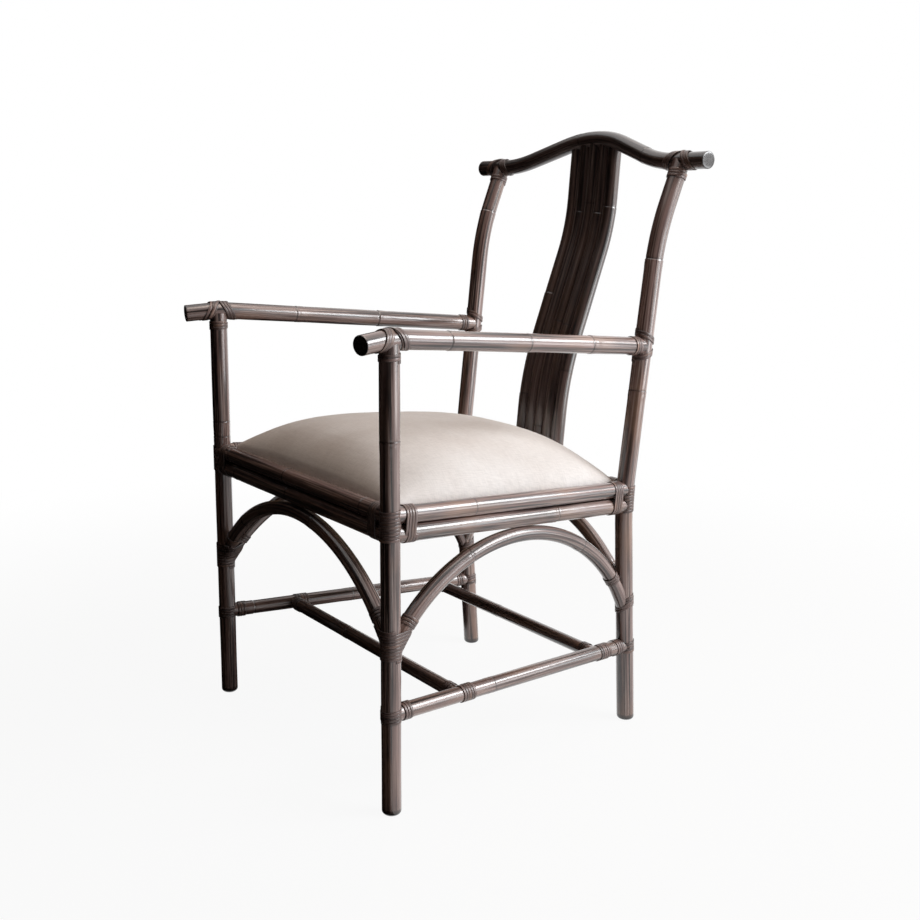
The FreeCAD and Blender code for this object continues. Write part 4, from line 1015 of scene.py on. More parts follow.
class Binding:
    """Strips of one bound joint, gathered into one mesh."""

    def __init__(self):
        self.vertices, self.faces, self.places, self.tones, self.edges = [], [], [], [], []
        self.count = 0

    def lay(self, points, outward, width=STRIP_WIDTH):
        """Sweep the crowned section of a strip along a line on a pole's skin, with both ends tucked."""
        along = unit(np.gradient(points, axis=0))
        outward = unit(outward - along * (outward * along).sum(axis=1, keepdims=True))
        across = np.cross(along, outward)
        steps = np.linalg.norm(np.diff(points, axis=0), axis=1)
        travelled = np.concatenate([[0.0], np.cumsum(steps)])
        rows, section = len(points), len(STRIP_SECTION)
        to_end = np.minimum(travelled, travelled[-1] - travelled)
        thickness = STRIP_THICKNESS * np.clip(to_end / TUCK_LENGTH, TUCKED_SHARE, 1.0)
        wave = 1 + STRIP_WAVE * np.sin(travelled / WAVE_LENGTH + rng.uniform(0, 2 * math.pi))
        half = width / 2 * wave
        reach = STRIP_SECTION[:, 0][None, :, None] * half[:, None, None] * across[:, None, :]
        rise = STRIP_SECTION[:, 1][None, :, None] * thickness[:, None, None] * outward[:, None, :]
        self.vertices.append((points[:, None, :] + reach + rise).reshape(-1, 3))
        place = np.zeros((rows, section, 3))
        place[:, :, 0] = STRIP_SECTION[:, 0] * STRIP_WIDTH / 2 + rng.uniform(0, STRIP_SPREAD)
        place[:, :, 1] = travelled[:, None]
        self.places.append(place.reshape(-1, 3))
        tones = rng.uniform(0, 1, int(travelled[-1] / TONE_LENGTH) + 2)
        tone = np.interp(travelled / TONE_LENGTH, np.arange(len(tones)), tones)
        self.tones.append(np.repeat(tone, section))
        # Distance from the strip's middle, which drives the painted shade at its edges.
        self.edges.append(np.tile(np.abs(STRIP_SECTION[:, 0]), rows))
        self.join(rows, section)

    def join(self, rows, section):
        """Faces of the strip that was laid last."""
        base = self.count
        for row in range(rows - 1):
            for corner in range(section):
                beside = (corner + 1) % section
                self.faces.append((base + row * section + corner, base + row * section + beside,
                                   base + (row + 1) * section + beside, base + (row + 1) * section + corner))
        self.faces.append(tuple(base + corner for corner in reversed(range(section))))
        self.faces.append(tuple(base + (rows - 1) * section + corner for corner in range(section)))
        self.count += rows * section

    def wind(self, pole, middle, turns, blockers=(), lean=0.0, low_angle=0.0):
        """Strip wound round a pole and under poles in its way; a leaning one is low at one angle."""
        turn = np.linspace(-turns / 2, turns / 2, int(turns * TURN_SAMPLES) + 1)
        angle = 2 * math.pi * turn + rng.uniform(0, 2 * math.pi)
        place = middle + turn * STRIP_PITCH - lean * np.cos(angle - low_angle)
        points, outward = pole.skin(place, angle, np.full(len(turn), pole.radius + STRIP_CLEARANCE))
        free = clearance(points + outward * STRIP_THICKNESS, blockers) > 0
        edges = np.flatnonzero(np.diff(np.concatenate([[0], free, [0]])))
        for first, last in zip(edges[::2], edges[1::2]):
            if last - first > SHORTEST_RUN:
                self.lay(points[first:last], outward[first:last])

    def wind_pair(self, middle, axis, turns):
        """Strip wound round a stacked pair of rails."""
        upward = unit(UP - axis * (UP @ axis))
        sideways = np.cross(axis, upward)
        radius = RAIL_RADIUS + STRIP_CLEARANCE
        half = RAIL_OFFSET * upward[2]
        arc = math.pi * radius
        lap = 2 * arc + 4 * half
        travelled = np.linspace(0, turns * lap, int(turns * PAIR_SAMPLES) + 1)
        round_lap = travelled % lap
        left = round_lap >= 2 * half + arc
        local = np.where(left, round_lap - 2 * half - arc, round_lap)
        swing = np.clip(local - 2 * half, 0, arc) / radius
        flip = np.where(left, -1.0, 1.0)
        height = flip * (np.clip(local, 0, 2 * half) - half + radius * np.sin(swing))
        breadth = flip * radius * np.cos(swing)
        outward = np.outer(flip * np.cos(swing), sideways) + np.outer(flip * np.sin(swing), upward)
        shift = (travelled / lap - turns / 2) * STRIP_PITCH
        points = middle + np.outer(breadth, sideways) + np.outer(height, upward) + np.outer(shift, axis)
        self.lay(points, outward)

    def straddle(self, pole, joint, toward, butt_radius, turns=3, far=STRADDLE_FAR):
        """Strips wound on both sides of a pole that butts from one side, drawn together on the far side."""
        middle = pole.near(joint)
        turn = np.linspace(0, turns, int(turns * TURN_SAMPLES) + 1)
        angle = pole.angle_of(middle, toward) + 2 * math.pi * turn
        facing = (1 + np.cos(2 * math.pi * turn)) / 2
        near = butt_radius + (STRIP_WIDTH + STRIP_PITCH) / 2 + STRADDLE_GAP
        offset = far + (near - far) * facing + (turn - 0.5) * STRIP_PITCH
        radius = pole.radius + STRIP_CLEARANCE + STRADDLE_LIFT * (1 - facing) ** 2
        for sense in (1, -1):
            points, outward = pole.skin(middle + sense * offset, angle, radius)
            self.lay(points, outward)

    def cross_over(self, pole, joint, toward, butt_radius, sense):
        """One strip laid slantwise over a straddled pole, from one side of the joint to the other."""
        middle = pole.near(joint)
        swing = np.linspace(-1, 1, TURN_SAMPLES)
        angle = pole.angle_of(middle, -toward) + sense * swing * CROSSING_SWING
        place = middle + swing * (butt_radius + STRIP_WIDTH)
        radius = pole.radius + STRIP_CLEARANCE + STRADDLE_LIFT + CROSSING_LIFT
        points, outward = pole.skin(place, angle, np.full(len(swing), radius))
        self.lay(points, outward)

    def finish(self, node):
        """Make the joint's mesh and let it stand for the frame's node."""
        piece = add_object(node + "_peel", np.vstack(self.vertices), self.faces, [peel])
        write_values(piece, "peel_place", np.vstack(self.places))
        write_values(piece, "peel_tone", np.concatenate(self.tones))
        write_values(piece, "peel_edge_shade", np.concatenate(self.edges))
        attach(piece, "root")
        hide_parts(node)
        return piece


print("ways of binding ready")

# %% [markdown]
# ## The web at a front arch
# On a front leg the strips go round the leg and the ends of both arches at once, so that the band
# widens from the leg to the arches. At each height the outline is the tightest loop round the three
# sections, as a stretched band would lie. The strips follow that surface and tilt with it.

# %% Web round a leg and its arches
WEB_ANGLES = np.linspace(0, 2 * math.pi, 120, endpoint=False)
WEB_REACH = 31 * MM
SLICE = 1.5 * MM
WIDEST_STRIP = 2.2 * STRIP_WIDTH
PARALLEL = 1e-12


def tight_loop(points, centre):
    """Distance from a centre to the tightest loop round some points, for each web angle."""
    flat = sorted(map(tuple, np.round(points - centre, 7)))
    chain = []
    for ordered in (flat, flat[::-1]):
        side = []
        for point in ordered:
            while len(side) > 1 and ((side[-1][0] - side[-2][0]) * (point[1] - side[-2][1])
                                     <= (side[-1][1] - side[-2][1]) * (point[0] - side[-2][0])):
                side.pop()
            side.append(point)
        chain += side[:-1]
    hull = np.array(chain)
    following = np.roll(hull, -1, axis=0)
    edge = following - hull
    distances = []
    for angle in WEB_ANGLES:
        ray = np.array([math.cos(angle), math.sin(angle)])
        cross_edge = ray[0] * edge[:, 1] - ray[1] * edge[:, 0]
        cross_start = hull[:, 0] * edge[:, 1] - hull[:, 1] * edge[:, 0]
        cross_edge = np.where(np.abs(cross_edge) < PARALLEL, PARALLEL, cross_edge)
        reach = cross_start / cross_edge
        distances.append(reach[reach > 0].min())
    return np.array(distances)


def lay_web(binding, leg, arches, low, high):
    """Strips from low to high round a leg and the arch ends that lean on it."""
    clouds = []
    for arch in arches:
        away = np.linalg.norm(arch.points[:, :2] - leg.points[0][:2], axis=1)
        grid_place, grid_angle = np.meshgrid(arch.places[away < 2 * WEB_REACH], ANGLES)
        radius = np.full(grid_place.shape, arch.radius + STRIP_CLEARANCE)
        skin, _ = arch.skin(grid_place, grid_angle, radius)
        clouds.append(skin.reshape(-1, 3))
    cloud = np.vstack(clouds)
    centre = leg.points[0][:2]
    around = np.stack([np.cos(WEB_ANGLES), np.sin(WEB_ANGLES)], axis=1)
    ring = centre + around * (leg.radius + STRIP_CLEARANCE)
    count = int(round((high - low) / STRIP_PITCH))
    heights = low + np.arange(count + 1) * STRIP_PITCH
    loops = []
    for height in heights:
        close = np.abs(cloud[:, 2] - height) < SLICE
        level = cloud[close][:, :2]
        level = level[np.linalg.norm(level - centre, axis=1) < WEB_REACH]
        reach = tight_loop(np.vstack([ring, level]), centre)
        loops.append(np.column_stack([centre + around * reach[:, None], np.full(len(reach), height)]))
    loops = np.array(loops)
    upward = np.gradient(loops, axis=0)
    onward = np.roll(loops, -1, axis=1) - np.roll(loops, 1, axis=1)
    outward = unit(np.cross(onward, upward))
    widths = np.minimum(np.linalg.norm(upward, axis=2) * STRIP_WIDTH / STRIP_PITCH, WIDEST_STRIP)
    step = np.arange(count * len(WEB_ANGLES))
    loop, column = np.divmod(step, len(WEB_ANGLES))
    climb = (column / len(WEB_ANGLES))[:, None]
    path = loops[loop, column] * (1 - climb) + loops[loop + 1, column] * climb
    binding.lay(path, outward[loop, column], widths[loop, column])


print("web ready")

# %% [markdown]
# ## Binding every joint
# With the ways of binding at hand, each joint takes a few lines: which pole is wrapped, where, and
# with how many turns. The counts come from the photograph: ten strips on a leg at the seat, four
# turns on a pair of rails, three on most pole ends.

# %% Seat corners, arches and stretchers
CORNERS = [(end, name) for end in ("front", "rear") for name in SIDES]
SEAT_TURNS = 9
RAIL_TURNS = 4
POLE_TURNS = 3
STRETCHER_TURNS = 4
REAR_ARCH_TURNS = 4
CROSS_TURNS = 5
SEAT_STAND_OFF = 0.6 * MM
STRETCHER_STAND_OFF = 1.0 * MM
CROSS_STAND_OFF = 0.6 * MM
ARCH_STAND_OFF = 4 * MM
WEB_BELOW = 24 * MM
WEB_ABOVE = 8 * MM
REAR_ARCH_DROP = 13 * MM
REAR_ARCH_LEAN = 6 * MM
SAME_POINT = 1 * MM


def upright_name(end, name):
    """Leg or post at a corner of the seat."""
    return ("front_leg_" if end == "front" else "rear_post_") + name


def wound_half(turns):
    """Half the length that a winding takes up on its pole."""
    return (turns * STRIP_PITCH + STRIP_WIDTH) / 2


def place_at(pole, height):
    """Place along an upright at one height."""
    return np.interp(height, pole.points[:, 2], pole.places)


def from_end(pole, joint, distance):
    """Place at a distance from a joint, measured into the pole."""
    near = pole.near(joint)
    return near + distance if near < pole.length / 2 else near - distance


def bind_seat_corner(end, name):
    """Turns on the upright between the rails, and turns round both pairs of rails."""
    binding = Binding()
    upright = poles[upright_name(end, name)]
    height = RAIL_FRONT_HEIGHT if end == "front" else RAIL_REAR_HEIGHT
    rails = [poles["seat_rail_%s_%s" % (place, level)]
             for place in (end, name) for level in ("upper", "lower")]
    binding.wind(upright, place_at(upright, height), SEAT_TURNS, rails)
    joint = upright.at(place_at(upright, height))[0]
    for place in (end, name):
        upper = poles["seat_rail_%s_upper" % place]
        lower = poles["seat_rail_%s_lower" % place]
        middles = (upper.points + lower.points) / 2
        at_start = np.linalg.norm(middles[0] - joint) < np.linalg.norm(middles[-1] - joint)
        axis = upper.tangents[0] * (1 if at_start else -1)
        start = middles[0] if at_start else middles[-1]
        slant = abs(axis[2]) * (RAIL_RADIUS + RAIL_OFFSET)
        distance = upright.radius + slant + SEAT_STAND_OFF + wound_half(RAIL_TURNS)
        binding.wind_pair(start + axis * distance, axis, RAIL_TURNS)
    return binding


def bind_arches(end, name):
    """Turns on both arch ends, and a web or leaning turns on the upright."""
    binding = Binding()
    upright = poles[upright_name(end, name)]
    arches = [poles["arch_brace_" + place] for place in (end, name)]
    joints = []
    for arch in arches:
        foot = upright.at(place_at(upright, arch.points[0][2]))[0]
        at_start = np.linalg.norm(arch.points[0] - foot) < SAME_POINT
        edge = coped_rows(arch, [upright], at_end=not at_start)[0][1]
        furthest = edge.max() if at_start else edge.min()
        sense = 1 if at_start else -1
        binding.wind(arch, furthest + sense * (wound_half(POLE_TURNS) + ARCH_STAND_OFF), POLE_TURNS)
        joints.append(arch.at(edge)[0][:, 2].mean())
    if end == "front":
        lay_web(binding, upright, arches, min(joints) - WEB_BELOW, max(joints) + WEB_ABOVE)
        return binding
    crowns = [arch.points[len(arch.points) // 2] for arch in arches]
    place = place_at(upright, min(joints) - REAR_ARCH_DROP)
    toward = (crowns[0] + crowns[1]) / 2 - upright.at(place)[0]
    low_angle = upright.angle_of(place, toward)
    binding.wind(upright, place, REAR_ARCH_TURNS, arches, REAR_ARCH_LEAN, low_angle)
    return binding


def bind_stretcher(end, name):
    """Turns on the upright and on the end of the side stretcher."""
    binding = Binding()
    upright = poles[upright_name(end, name)]
    stretcher = poles["side_stretcher_" + name]
    height = STRETCHER_FRONT_HEIGHT if end == "front" else STRETCHER_REAR_HEIGHT
    binding.wind(upright, place_at(upright, height), STRETCHER_TURNS, [stretcher])
    joint = upright.at(place_at(upright, height))[0]
    distance = upright.radius + STRETCHER_STAND_OFF + wound_half(POLE_TURNS)
    binding.wind(stretcher, from_end(stretcher, joint, distance), POLE_TURNS)
    return binding


def bind_cross(end, name):
    """Strips on the side stretcher from the joint backward, and turns on the cross stretcher's end."""
    binding = Binding()
    stretcher = poles["side_stretcher_" + name]
    cross = poles["cross_stretcher_" + end]
    joint = cross.points[-1] if name == "left" else cross.points[0]
    place = stretcher.near(joint)
    binding.wind(stretcher, place + wound_half(CROSS_TURNS), CROSS_TURNS, [cross])
    distance = stretcher.radius + CROSS_STAND_OFF + wound_half(POLE_TURNS)
    binding.wind(cross, from_end(cross, joint, distance), POLE_TURNS)
    return binding


LOW_JOINTS = {
    "seat": bind_seat_corner,
    "arch": bind_arches,
    "stretcher": bind_stretcher,
    "cross": bind_cross,
}
for kind, bind in LOW_JOINTS.items():
    for end, name in CORNERS:
        bind(end, name).finish("%s_binding_%s_%s" % (kind, end, name))
print("joints bound below the seat:", len(LOW_JOINTS) * len(CORNERS))

# %% [markdown]
# ## Arms and crest
# Above the seat a through pole lies on the end of another: the arm on the front leg, the crest rail
# on the post, the post on the arm's rear end. Straddling strips hold it down, and a few turns finish
# the end that butts on it. The photograph shows only part of this lashing; the rest is a reading of it.

# %% Arm and crest joints
COLLAR_TURNS = 2.5
ARM_COLLAR_GAP = 1.4 * MM
CREST_COLLAR_GAP = 1.0 * MM
ARM_STAND_OFF = 1.2 * MM
ARM_REAR_HOOPS = 2
ARM_REAR_FAR = 4.5 * MM


def bind_arm_front(name):
    """Arm over the front leg."""
    binding = Binding()
    arm = poles["arm_rail_" + name]
    leg = poles["front_leg_" + name]
    joint = leg_point(name, ARM_FRONT_HEIGHT)
    binding.straddle(arm, joint, -UP, leg.radius)
    binding.cross_over(arm, joint, -UP, leg.radius, SIDES[name])
    axis_height = arm.at(arm.near(joint))[0][2]
    collar = axis_height - arm.radius - ARM_COLLAR_GAP - wound_half(COLLAR_TURNS)
    binding.wind(leg, place_at(leg, collar), COLLAR_TURNS)
    return binding


def bind_arm_rear(name):
    """Rear end of the arm against the post."""
    binding = Binding()
    arm = poles["arm_rail_" + name]
    post = poles["rear_post_" + name]
    joint = post_point(name, ARM_REAR_HEIGHT)
    binding.straddle(post, joint, arm.tangents[0], arm.radius, ARM_REAR_HOOPS, ARM_REAR_FAR)
    distance = post.radius + ARM_STAND_OFF + wound_half(POLE_TURNS)
    binding.wind(arm, from_end(arm, joint, distance), POLE_TURNS)
    return binding


def bind_crest(name):
    """Crest rail over the top of the post."""
    binding = Binding()
    crest = poles["crest_rail"]
    post = poles["rear_post_" + name]
    joint = post.points[-1]
    binding.straddle(crest, joint, -post.tangents[-1], post.radius)
    binding.cross_over(crest, joint, -post.tangents[-1], post.radius, SIDES[name])
    collar = post.length - crest.radius - CREST_COLLAR_GAP - wound_half(COLLAR_TURNS)
    binding.wind(post, collar, COLLAR_TURNS)
    return binding


HIGH_JOINTS = {
    "arm_binding_front": bind_arm_front,
    "arm_binding_rear": bind_arm_rear,
    "crest_binding": bind_crest,
}
for kind, bind in HIGH_JOINTS.items():
    for name in SIDES:
        bind(name).finish("%s_%s" % (kind, name))
print("joints bound above the seat:", len(HIGH_JOINTS) * len(SIDES))

# %% [markdown]
# ## The cushion
# The seat is foam under tight off-white cloth: a plain dome with no welt, highest in the middle and
# tucked down behind the rails all round. A scaled sphere would be too pointed and a box too flat, so
# the start is a dome whose section is a rounded square. Cloth simulation then blows it up a little
# from inside, as foam does under a pulled cover, while its edge on the board stays put.

# %% Seat plane and the cushion's start
SEAT_INSET = 11.5 * MM
BOARD_TOP = 6 * MM
CUSHION_EDGE = 24 * MM
CUSHION_CROWN = 80 * MM
PLUMP_ROOM = 3.5 * MM
CUSHION_DRAW_IN = 1.0 * MM
CORNER_PULL = 0.012
CORNER_TIGHTNESS = 16
DOME_ALONG = 3
DOME_ACROSS = 2.5
BASE_GAP = 0.4 * MM
GRID = 64

seat_front = np.array([0.0, front_y, RAIL_FRONT_HEIGHT])
seat_rear = poles["seat_rail_rear_upper"].points[0] * (0, 1, 0) + UP * RAIL_REAR_HEIGHT
seat_along = unit(seat_rear - seat_front)
seat_normal = np.cross(ACROSS, seat_along)
seat_length = np.linalg.norm(seat_rear - seat_front)
half_rear = abs(poles["seat_rail_rear_upper"].points[0][0])


def seat_point(across, along, height):
    """Point of the cushion from shares of the seat's width and depth, and a height over the rails."""
    across = across * (1 - CORNER_PULL * along ** CORNER_TIGHTNESS)
    along = along * (1 - CORNER_PULL * across ** CORNER_TIGHTNESS)
    depth = seat_length / 2 + along * (seat_length / 2 - SEAT_INSET)
    half = half_front + (half_rear - half_front) * depth / seat_length - SEAT_INSET
    half = half - CUSHION_DRAW_IN * (1 - along ** 2)
    return (seat_front + np.multiply.outer(across * half, ACROSS) + np.multiply.outer(depth, seat_along)
            + np.multiply.outer(height, seat_normal))


def cushion_start(crown):
    """Closed dome: rounded top, low side walls and a flat base on the board."""
    shares = np.sin(np.linspace(-math.pi / 2, math.pi / 2, GRID))
    across, along = np.meshgrid(shares, shares)
    dome = np.sqrt(1 - np.abs(along) ** DOME_ALONG) * np.sqrt(1 - np.abs(across) ** DOME_ACROSS)
    top = seat_point(across, along, CUSHION_EDGE + crown * dome)
    base = seat_point(across, along, np.full(across.shape, BOARD_TOP + BASE_GAP))
    vertices = np.vstack([top.reshape(-1, 3), base.reshape(-1, 3)])
    below = GRID * GRID
    faces = []
    for row in range(GRID - 1):
        for column in range(GRID - 1):
            corner = row * GRID + column
            quad = (corner, corner + 1, corner + GRID + 1, corner + GRID)
            faces.append(quad)
            faces.append(tuple(below + index for index in reversed(quad)))
    last = GRID - 1
    edge = [(0, column) for column in range(GRID)]
    edge += [(row, last) for row in range(1, GRID)]
    edge += [(last, column) for column in reversed(range(last))]
    edge += [(row, 0) for row in reversed(range(1, last))]
    rim = [row * GRID + column for row, column in edge]
    for first, second in zip(rim, rim[1:] + rim[:1]):
        faces.append((first, below + first, below + second, second))
    return vertices, faces


print("seat depth along its slope:", round(seat_length, 4), "m")

# %% [markdown]
# ## Cloth for the cushion
# Off-white upholstery cloth in a plain weave. A wave texture would give threads as even as a comb,
# which ripple when they are finer than a pixel. Real threads are uneven, so here each set of threads
# is noise drawn out along one direction, and slow noise keeps the colour from being flat.

# %% Finish of the cloth
CLOTH_LIGHT = (0.82, 0.792, 0.772, 1.0)
CLOTH_SHADE = (0.73, 0.688, 0.660, 1.0)
WARP_STRETCH = (1400.0, 80.0, 80.0)
WEFT_STRETCH = (80.0, 1400.0, 80.0)


def cloth_finish():
    """Plain-woven cloth with uneven threads and a soft sheen."""
    finish, tree, shader = new_finish("seat_cloth_weave")
    place = add_step(tree, "ShaderNodeTexCoord").outputs["Object"]
    warp = noise(tree, place, WARP_STRETCH, detail=1.0)
    weft = noise(tree, place, WEFT_STRETCH, detail=1.0)
    clouds = noise(tree, place, (9.0, 9.0, 9.0), detail=3.0)
    weave = add_step(tree, "ShaderNodeMath", {"operation": "MULTIPLY"}, i0=warp, i1=weft).outputs[0]
    woven = ramp(tree, clouds, [(0.35, CLOTH_SHADE), (0.65, CLOTH_LIGHT)])
    threads = ramp(tree, weave, [(0.10, grey(0.86)), (0.34, grey(1.0))])
    shaded = blend_colours(tree, 1.0, woven, threads, "MULTIPLY")
    tree.links.new(shaded, shader.inputs["Base Color"])
    shader.inputs["Roughness"].default_value = 0.85
    shader.inputs["Specular IOR Level"].default_value = 0.2
    shader.inputs["Sheen Weight"].default_value = 0.12
    bump = add_step(tree, "ShaderNodeBump", Height=weave, Strength=0.25, Distance=0.0004)
    tree.links.new(bump.outputs["Normal"], shader.inputs["Normal"])
    return finish


cloth = cloth_finish()
print("finish:", cloth.name)

# %% [markdown]
# ## Plumping it up
# The dome is remeshed to even quads, because cloth bends evenly only on an even mesh. The base is
# pinned, air pressure pushes the rest outward for twenty frames, and no point may move further than
# the room that was left for it. The bare result has small dents, so each point's way is then mixed
# with its neighbours'.

# %% Simulated cushion
VOXEL = 6 * MM
PRESSURE = 4.0
FRAMES = 20
PIN_HEIGHT = 9 * MM
CLOTH_QUALITY = 5
EDGE_ROOM = 0.1
EVENING_ROUNDS = 60


def remeshed(name, vertices, faces):
    """Object whose closed start mesh has been turned into even quads."""
    piece = add_object(name, vertices, faces, [cloth])
    remesh = piece.modifiers.new("even_quads", "REMESH")
    remesh.mode = "VOXEL"
    remesh.voxel_size = VOXEL
    mesh = bpy.data.meshes.new_from_object(piece.evaluated_get(bpy.context.evaluated_depsgraph_get()))
    piece.modifiers.clear()
    piece.data = mesh
    return piece


def coordinates(mesh):
    """Vertex positions of a mesh as rows."""
    table = np.zeros(len(mesh.vertices) * 3, np.float32)
    mesh.vertices.foreach_get("co", table)
    return table.reshape(-1, 3).astype(float)


def evened(mesh, ways):
    """Ways of the points, each mixed with its neighbours' in rounds, as foam evens out thin cloth."""
    table = np.zeros(len(mesh.edges) * 2, np.int32)
    mesh.edges.foreach_get("vertices", table)
    one, other = table.reshape(-1, 2).T
    count = np.bincount(table, minlength=len(ways))[:, None]
    for _ in range(EVENING_ROUNDS):
        near = np.zeros_like(ways)
        np.add.at(near, one, ways[other])
        np.add.at(near, other, ways[one])
        ways = (ways + near / count) / 2
    return ways


def plump(piece, room):
    """Blow a piece up from inside and keep the result, with each point's way capped."""
    start = coordinates(piece.data)
    heights = (start - seat_front) @ seat_normal
    pins = piece.vertex_groups.new(name="on_board")
    pins.add(np.flatnonzero(heights < PIN_HEIGHT).tolist(), 1.0, "REPLACE")
    cloth_step = piece.modifiers.new("plump", "CLOTH")
    cloth_step.settings.quality = CLOTH_QUALITY
    cloth_step.settings.use_pressure = True
    cloth_step.settings.uniform_pressure_force = PRESSURE
    cloth_step.settings.effector_weights.gravity = 0.0
    cloth_step.settings.vertex_group_mass = "on_board"
    cloth_step.point_cache.frame_start = 1
    cloth_step.point_cache.frame_end = FRAMES
    for number in range(1, FRAMES + 1):
        bpy.context.scene.frame_set(number)
    blown = piece.evaluated_get(bpy.context.evaluated_depsgraph_get())
    moved = coordinates(blown.data) - start
    piece.modifiers.remove(cloth_step)
    bpy.context.scene.frame_set(1)
    allowed = room * np.clip((heights - BOARD_TOP) / (2 * CUSHION_EDGE), EDGE_ROOM, 1.0)
    travelled = np.linalg.norm(moved, axis=1)
    moved *= np.minimum(1.0, allowed / np.maximum(travelled, 1e-9))[:, None]
    moved = evened(piece.data, moved)
    piece.data.vertices.foreach_set("co", (start + moved).astype(np.float32).ravel())
    piece.data.update()
    return np.linalg.norm(moved, axis=1)


def make_cushion():
    """Simulated cushion in place of the frame's cover and foam."""
    crown = CUSHION_CROWN - PLUMP_ROOM
    cushion = remeshed("seat_cushion", *cushion_start(crown))
    moved = plump(cushion, PLUMP_ROOM)
    print("cushion swelled by up to", round(moved.max() / MM, 2), "mm")
    cushion.data.polygons.foreach_set("use_smooth", [True] * len(cushion.data.polygons))
    finer = cushion.modifiers.new("finer", "SUBSURF")
    finer.levels = 1
    finer.render_levels = 1
    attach(cushion, "root")
    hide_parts("seat_cover", "seat_foam")
    return cushion


cushion = make_cushion()
print("cushion points:", len(cushion.data.vertices))

# %% [markdown]
# ## Hidden woodwork and fasteners
# No picture shows these pieces; they are what a chair like this needs inside. The board, the corner
# braces, the dowels and the seat's screws keep their solids. They only need finishes: raw plywood and
# hardwood with grain, and plain zinc-plated steel.

# %% Finishes of the hidden pieces


def wood_finish(name, pale, dark, grain_scale):
    """Unfinished wood with long grain along X."""
    finish, tree, shader = new_finish(name)
    place = add_step(tree, "ShaderNodeTexCoord").outputs["Object"]
    grain = noise(tree, place, grain_scale, detail=5.0)
    pores = noise(tree, place, tuple(4 * number for number in grain_scale), detail=2.0)
    tree.links.new(ramp(tree, grain, [(0.35, dark), (0.65, pale)]), shader.inputs["Base Color"])
    tree.links.new(spread(tree, pores, 0.5, 0.75), shader.inputs["Roughness"])
    bump = add_step(tree, "ShaderNodeBump", Height=pores, Strength=0.2, Distance=0.0005)
    tree.links.new(bump.outputs["Normal"], shader.inputs["Normal"])
    return finish


def steel_finish():
    """Zinc-plated steel with faint turning marks."""
    finish, tree, shader = new_finish("zinc_steel")
    place = add_step(tree, "ShaderNodeTexCoord").outputs["Object"]
    marks = noise(tree, place, (900.0, 900.0, 2500.0), detail=2.0)
    tree.links.new(ramp(tree, marks, [(0.3, (0.42, 0.41, 0.38, 1.0)), (0.7, (0.62, 0.60, 0.55, 1.0))]),
                   shader.inputs["Base Color"])
    tree.links.new(spread(tree, marks, 0.28, 0.45), shader.inputs["Roughness"])
    shader.inputs["Metallic"].default_value = 1.0
    return finish


PLY_PALE = (0.60, 0.44, 0.27, 1.0)
PLY_DARK = (0.44, 0.29, 0.16, 1.0)
PLY_GRAIN = (6.0, 90.0, 420.0)
BEECH_PALE = (0.52, 0.33, 0.19, 1.0)
BEECH_DARK = (0.38, 0.22, 0.12, 1.0)
BEECH_GRAIN = (8.0, 160.0, 160.0)
plywood = wood_finish("birch_plywood", PLY_PALE, PLY_DARK, PLY_GRAIN)
hardwood = wood_finish("beech_wood", BEECH_PALE, BEECH_DARK, BEECH_GRAIN)
steel = steel_finish()
KEPT_NODES = {
    "seat_board": plywood, "corner_braces": hardwood, "splat_dowels": hardwood,
    "brace_screws": steel, "seat_screws": steel,
}
for node, finish in KEPT_NODES.items():
    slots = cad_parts[node].data.materials
    for number in range(len(slots)):
        slots[number] = finish
print("nodes kept with new finishes:", len(KEPT_NODES))

# %% [markdown]
# ## Screws under the lacquer
# Some screws run at a slant, so the edges of their heads would break through the cane. A maker can
# drive such a screw deeper, fill the hole and lacquer over it. Each screw here is a copy of the
# frame's own, found as a loose island of the mesh. It is pushed along its axis in steps of a
# millimetre until no point of it stands closer to the skin than the cane's own unevenness.

# %% Sunk frame screws
SKIN = 0.9 * MM
PUSHES = np.arange(14) * MM
NEARBY = 40 * MM
WELD = 0.01 * MM


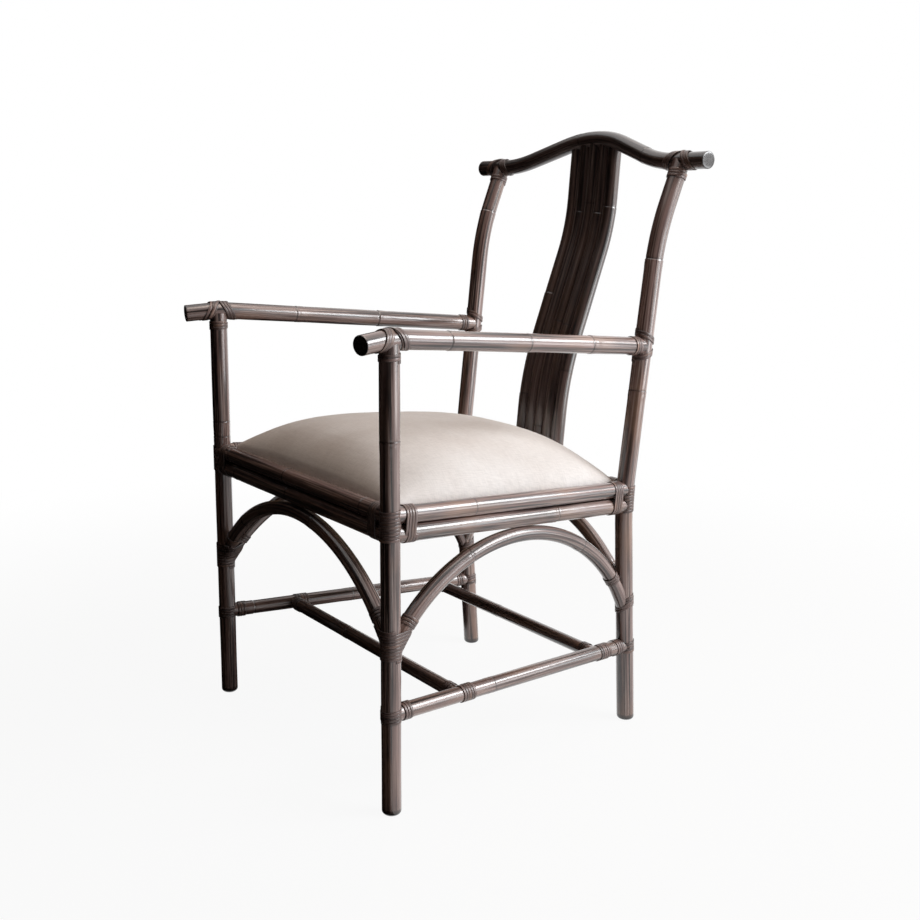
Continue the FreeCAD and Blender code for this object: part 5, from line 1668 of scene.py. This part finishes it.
def islands(mesh):
    """Groups of vertices that hang together."""
    seen, groups = set(), []
    for start in mesh.verts:
        if start in seen:
            continue
        group = [start]
        seen.add(start)
        for vertex in group:
            for edge in vertex.link_edges:
                other = edge.other_vert(vertex)
                if other not in seen:
                    seen.add(other)
                    group.append(other)
        groups.append(group)
    return groups


def inward_axis(points):
    """Direction of a screw from its head to its tip."""
    away = points - points.mean(axis=0)
    axis = np.linalg.svd(away, full_matrices=False)[2][0]
    along = away @ axis
    widest = np.linalg.norm(away - np.outer(along, axis), axis=1).argmax()
    return -axis * np.sign(along[widest])


def least_push(points, inward):
    """Shortest push along a screw's axis that leaves all of it under the cane."""
    middle = points.mean(axis=0)[None]
    near = [pole for pole in poles.values() if clearance(middle, [pole])[0] < NEARBY]
    proud = np.array([clearance(points + inward * push, near).max() for push in PUSHES])
    covered = np.flatnonzero(proud < -SKIN)
    best = covered[0] if len(covered) else proud.argmin()
    return PUSHES[best], proud[best]


def sink_screws():
    """Copy of the frame screws, each pushed under the cane as far as it needs."""
    mesh = bmesh.new()
    mesh.from_mesh(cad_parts["frame_screws"].data)
    bmesh.ops.remove_doubles(mesh, verts=mesh.verts, dist=WELD)
    pushes, heights = [], []
    for group in islands(mesh):
        points = np.array([vertex.co for vertex in group])
        inward = inward_axis(points)
        push, height = least_push(points, inward)
        pushes.append(push)
        heights.append(height)
        for vertex in group:
            vertex.co += Vector(inward * push)
    data = bpy.data.meshes.new("frame_screws_sunk")
    mesh.to_mesh(data)
    mesh.free()
    data.materials.clear()
    data.materials.append(steel)
    screws = bpy.data.objects.new("frame_screws_sunk", data)
    bpy.context.scene.collection.objects.link(screws)
    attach(screws, "root")
    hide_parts("frame_screws")
    return np.array(pushes) / MM, np.array(heights) / MM


sunk_by, left_proud = sink_screws()
print("frame screws:", len(sunk_by), "of which pushed:", int((sunk_by > 0).sum()))
print("longest push:", sunk_by.max(), "mm")
print("highest point of a screw over the skin, in mm:", np.sort(left_proud)[-4:].round(2))
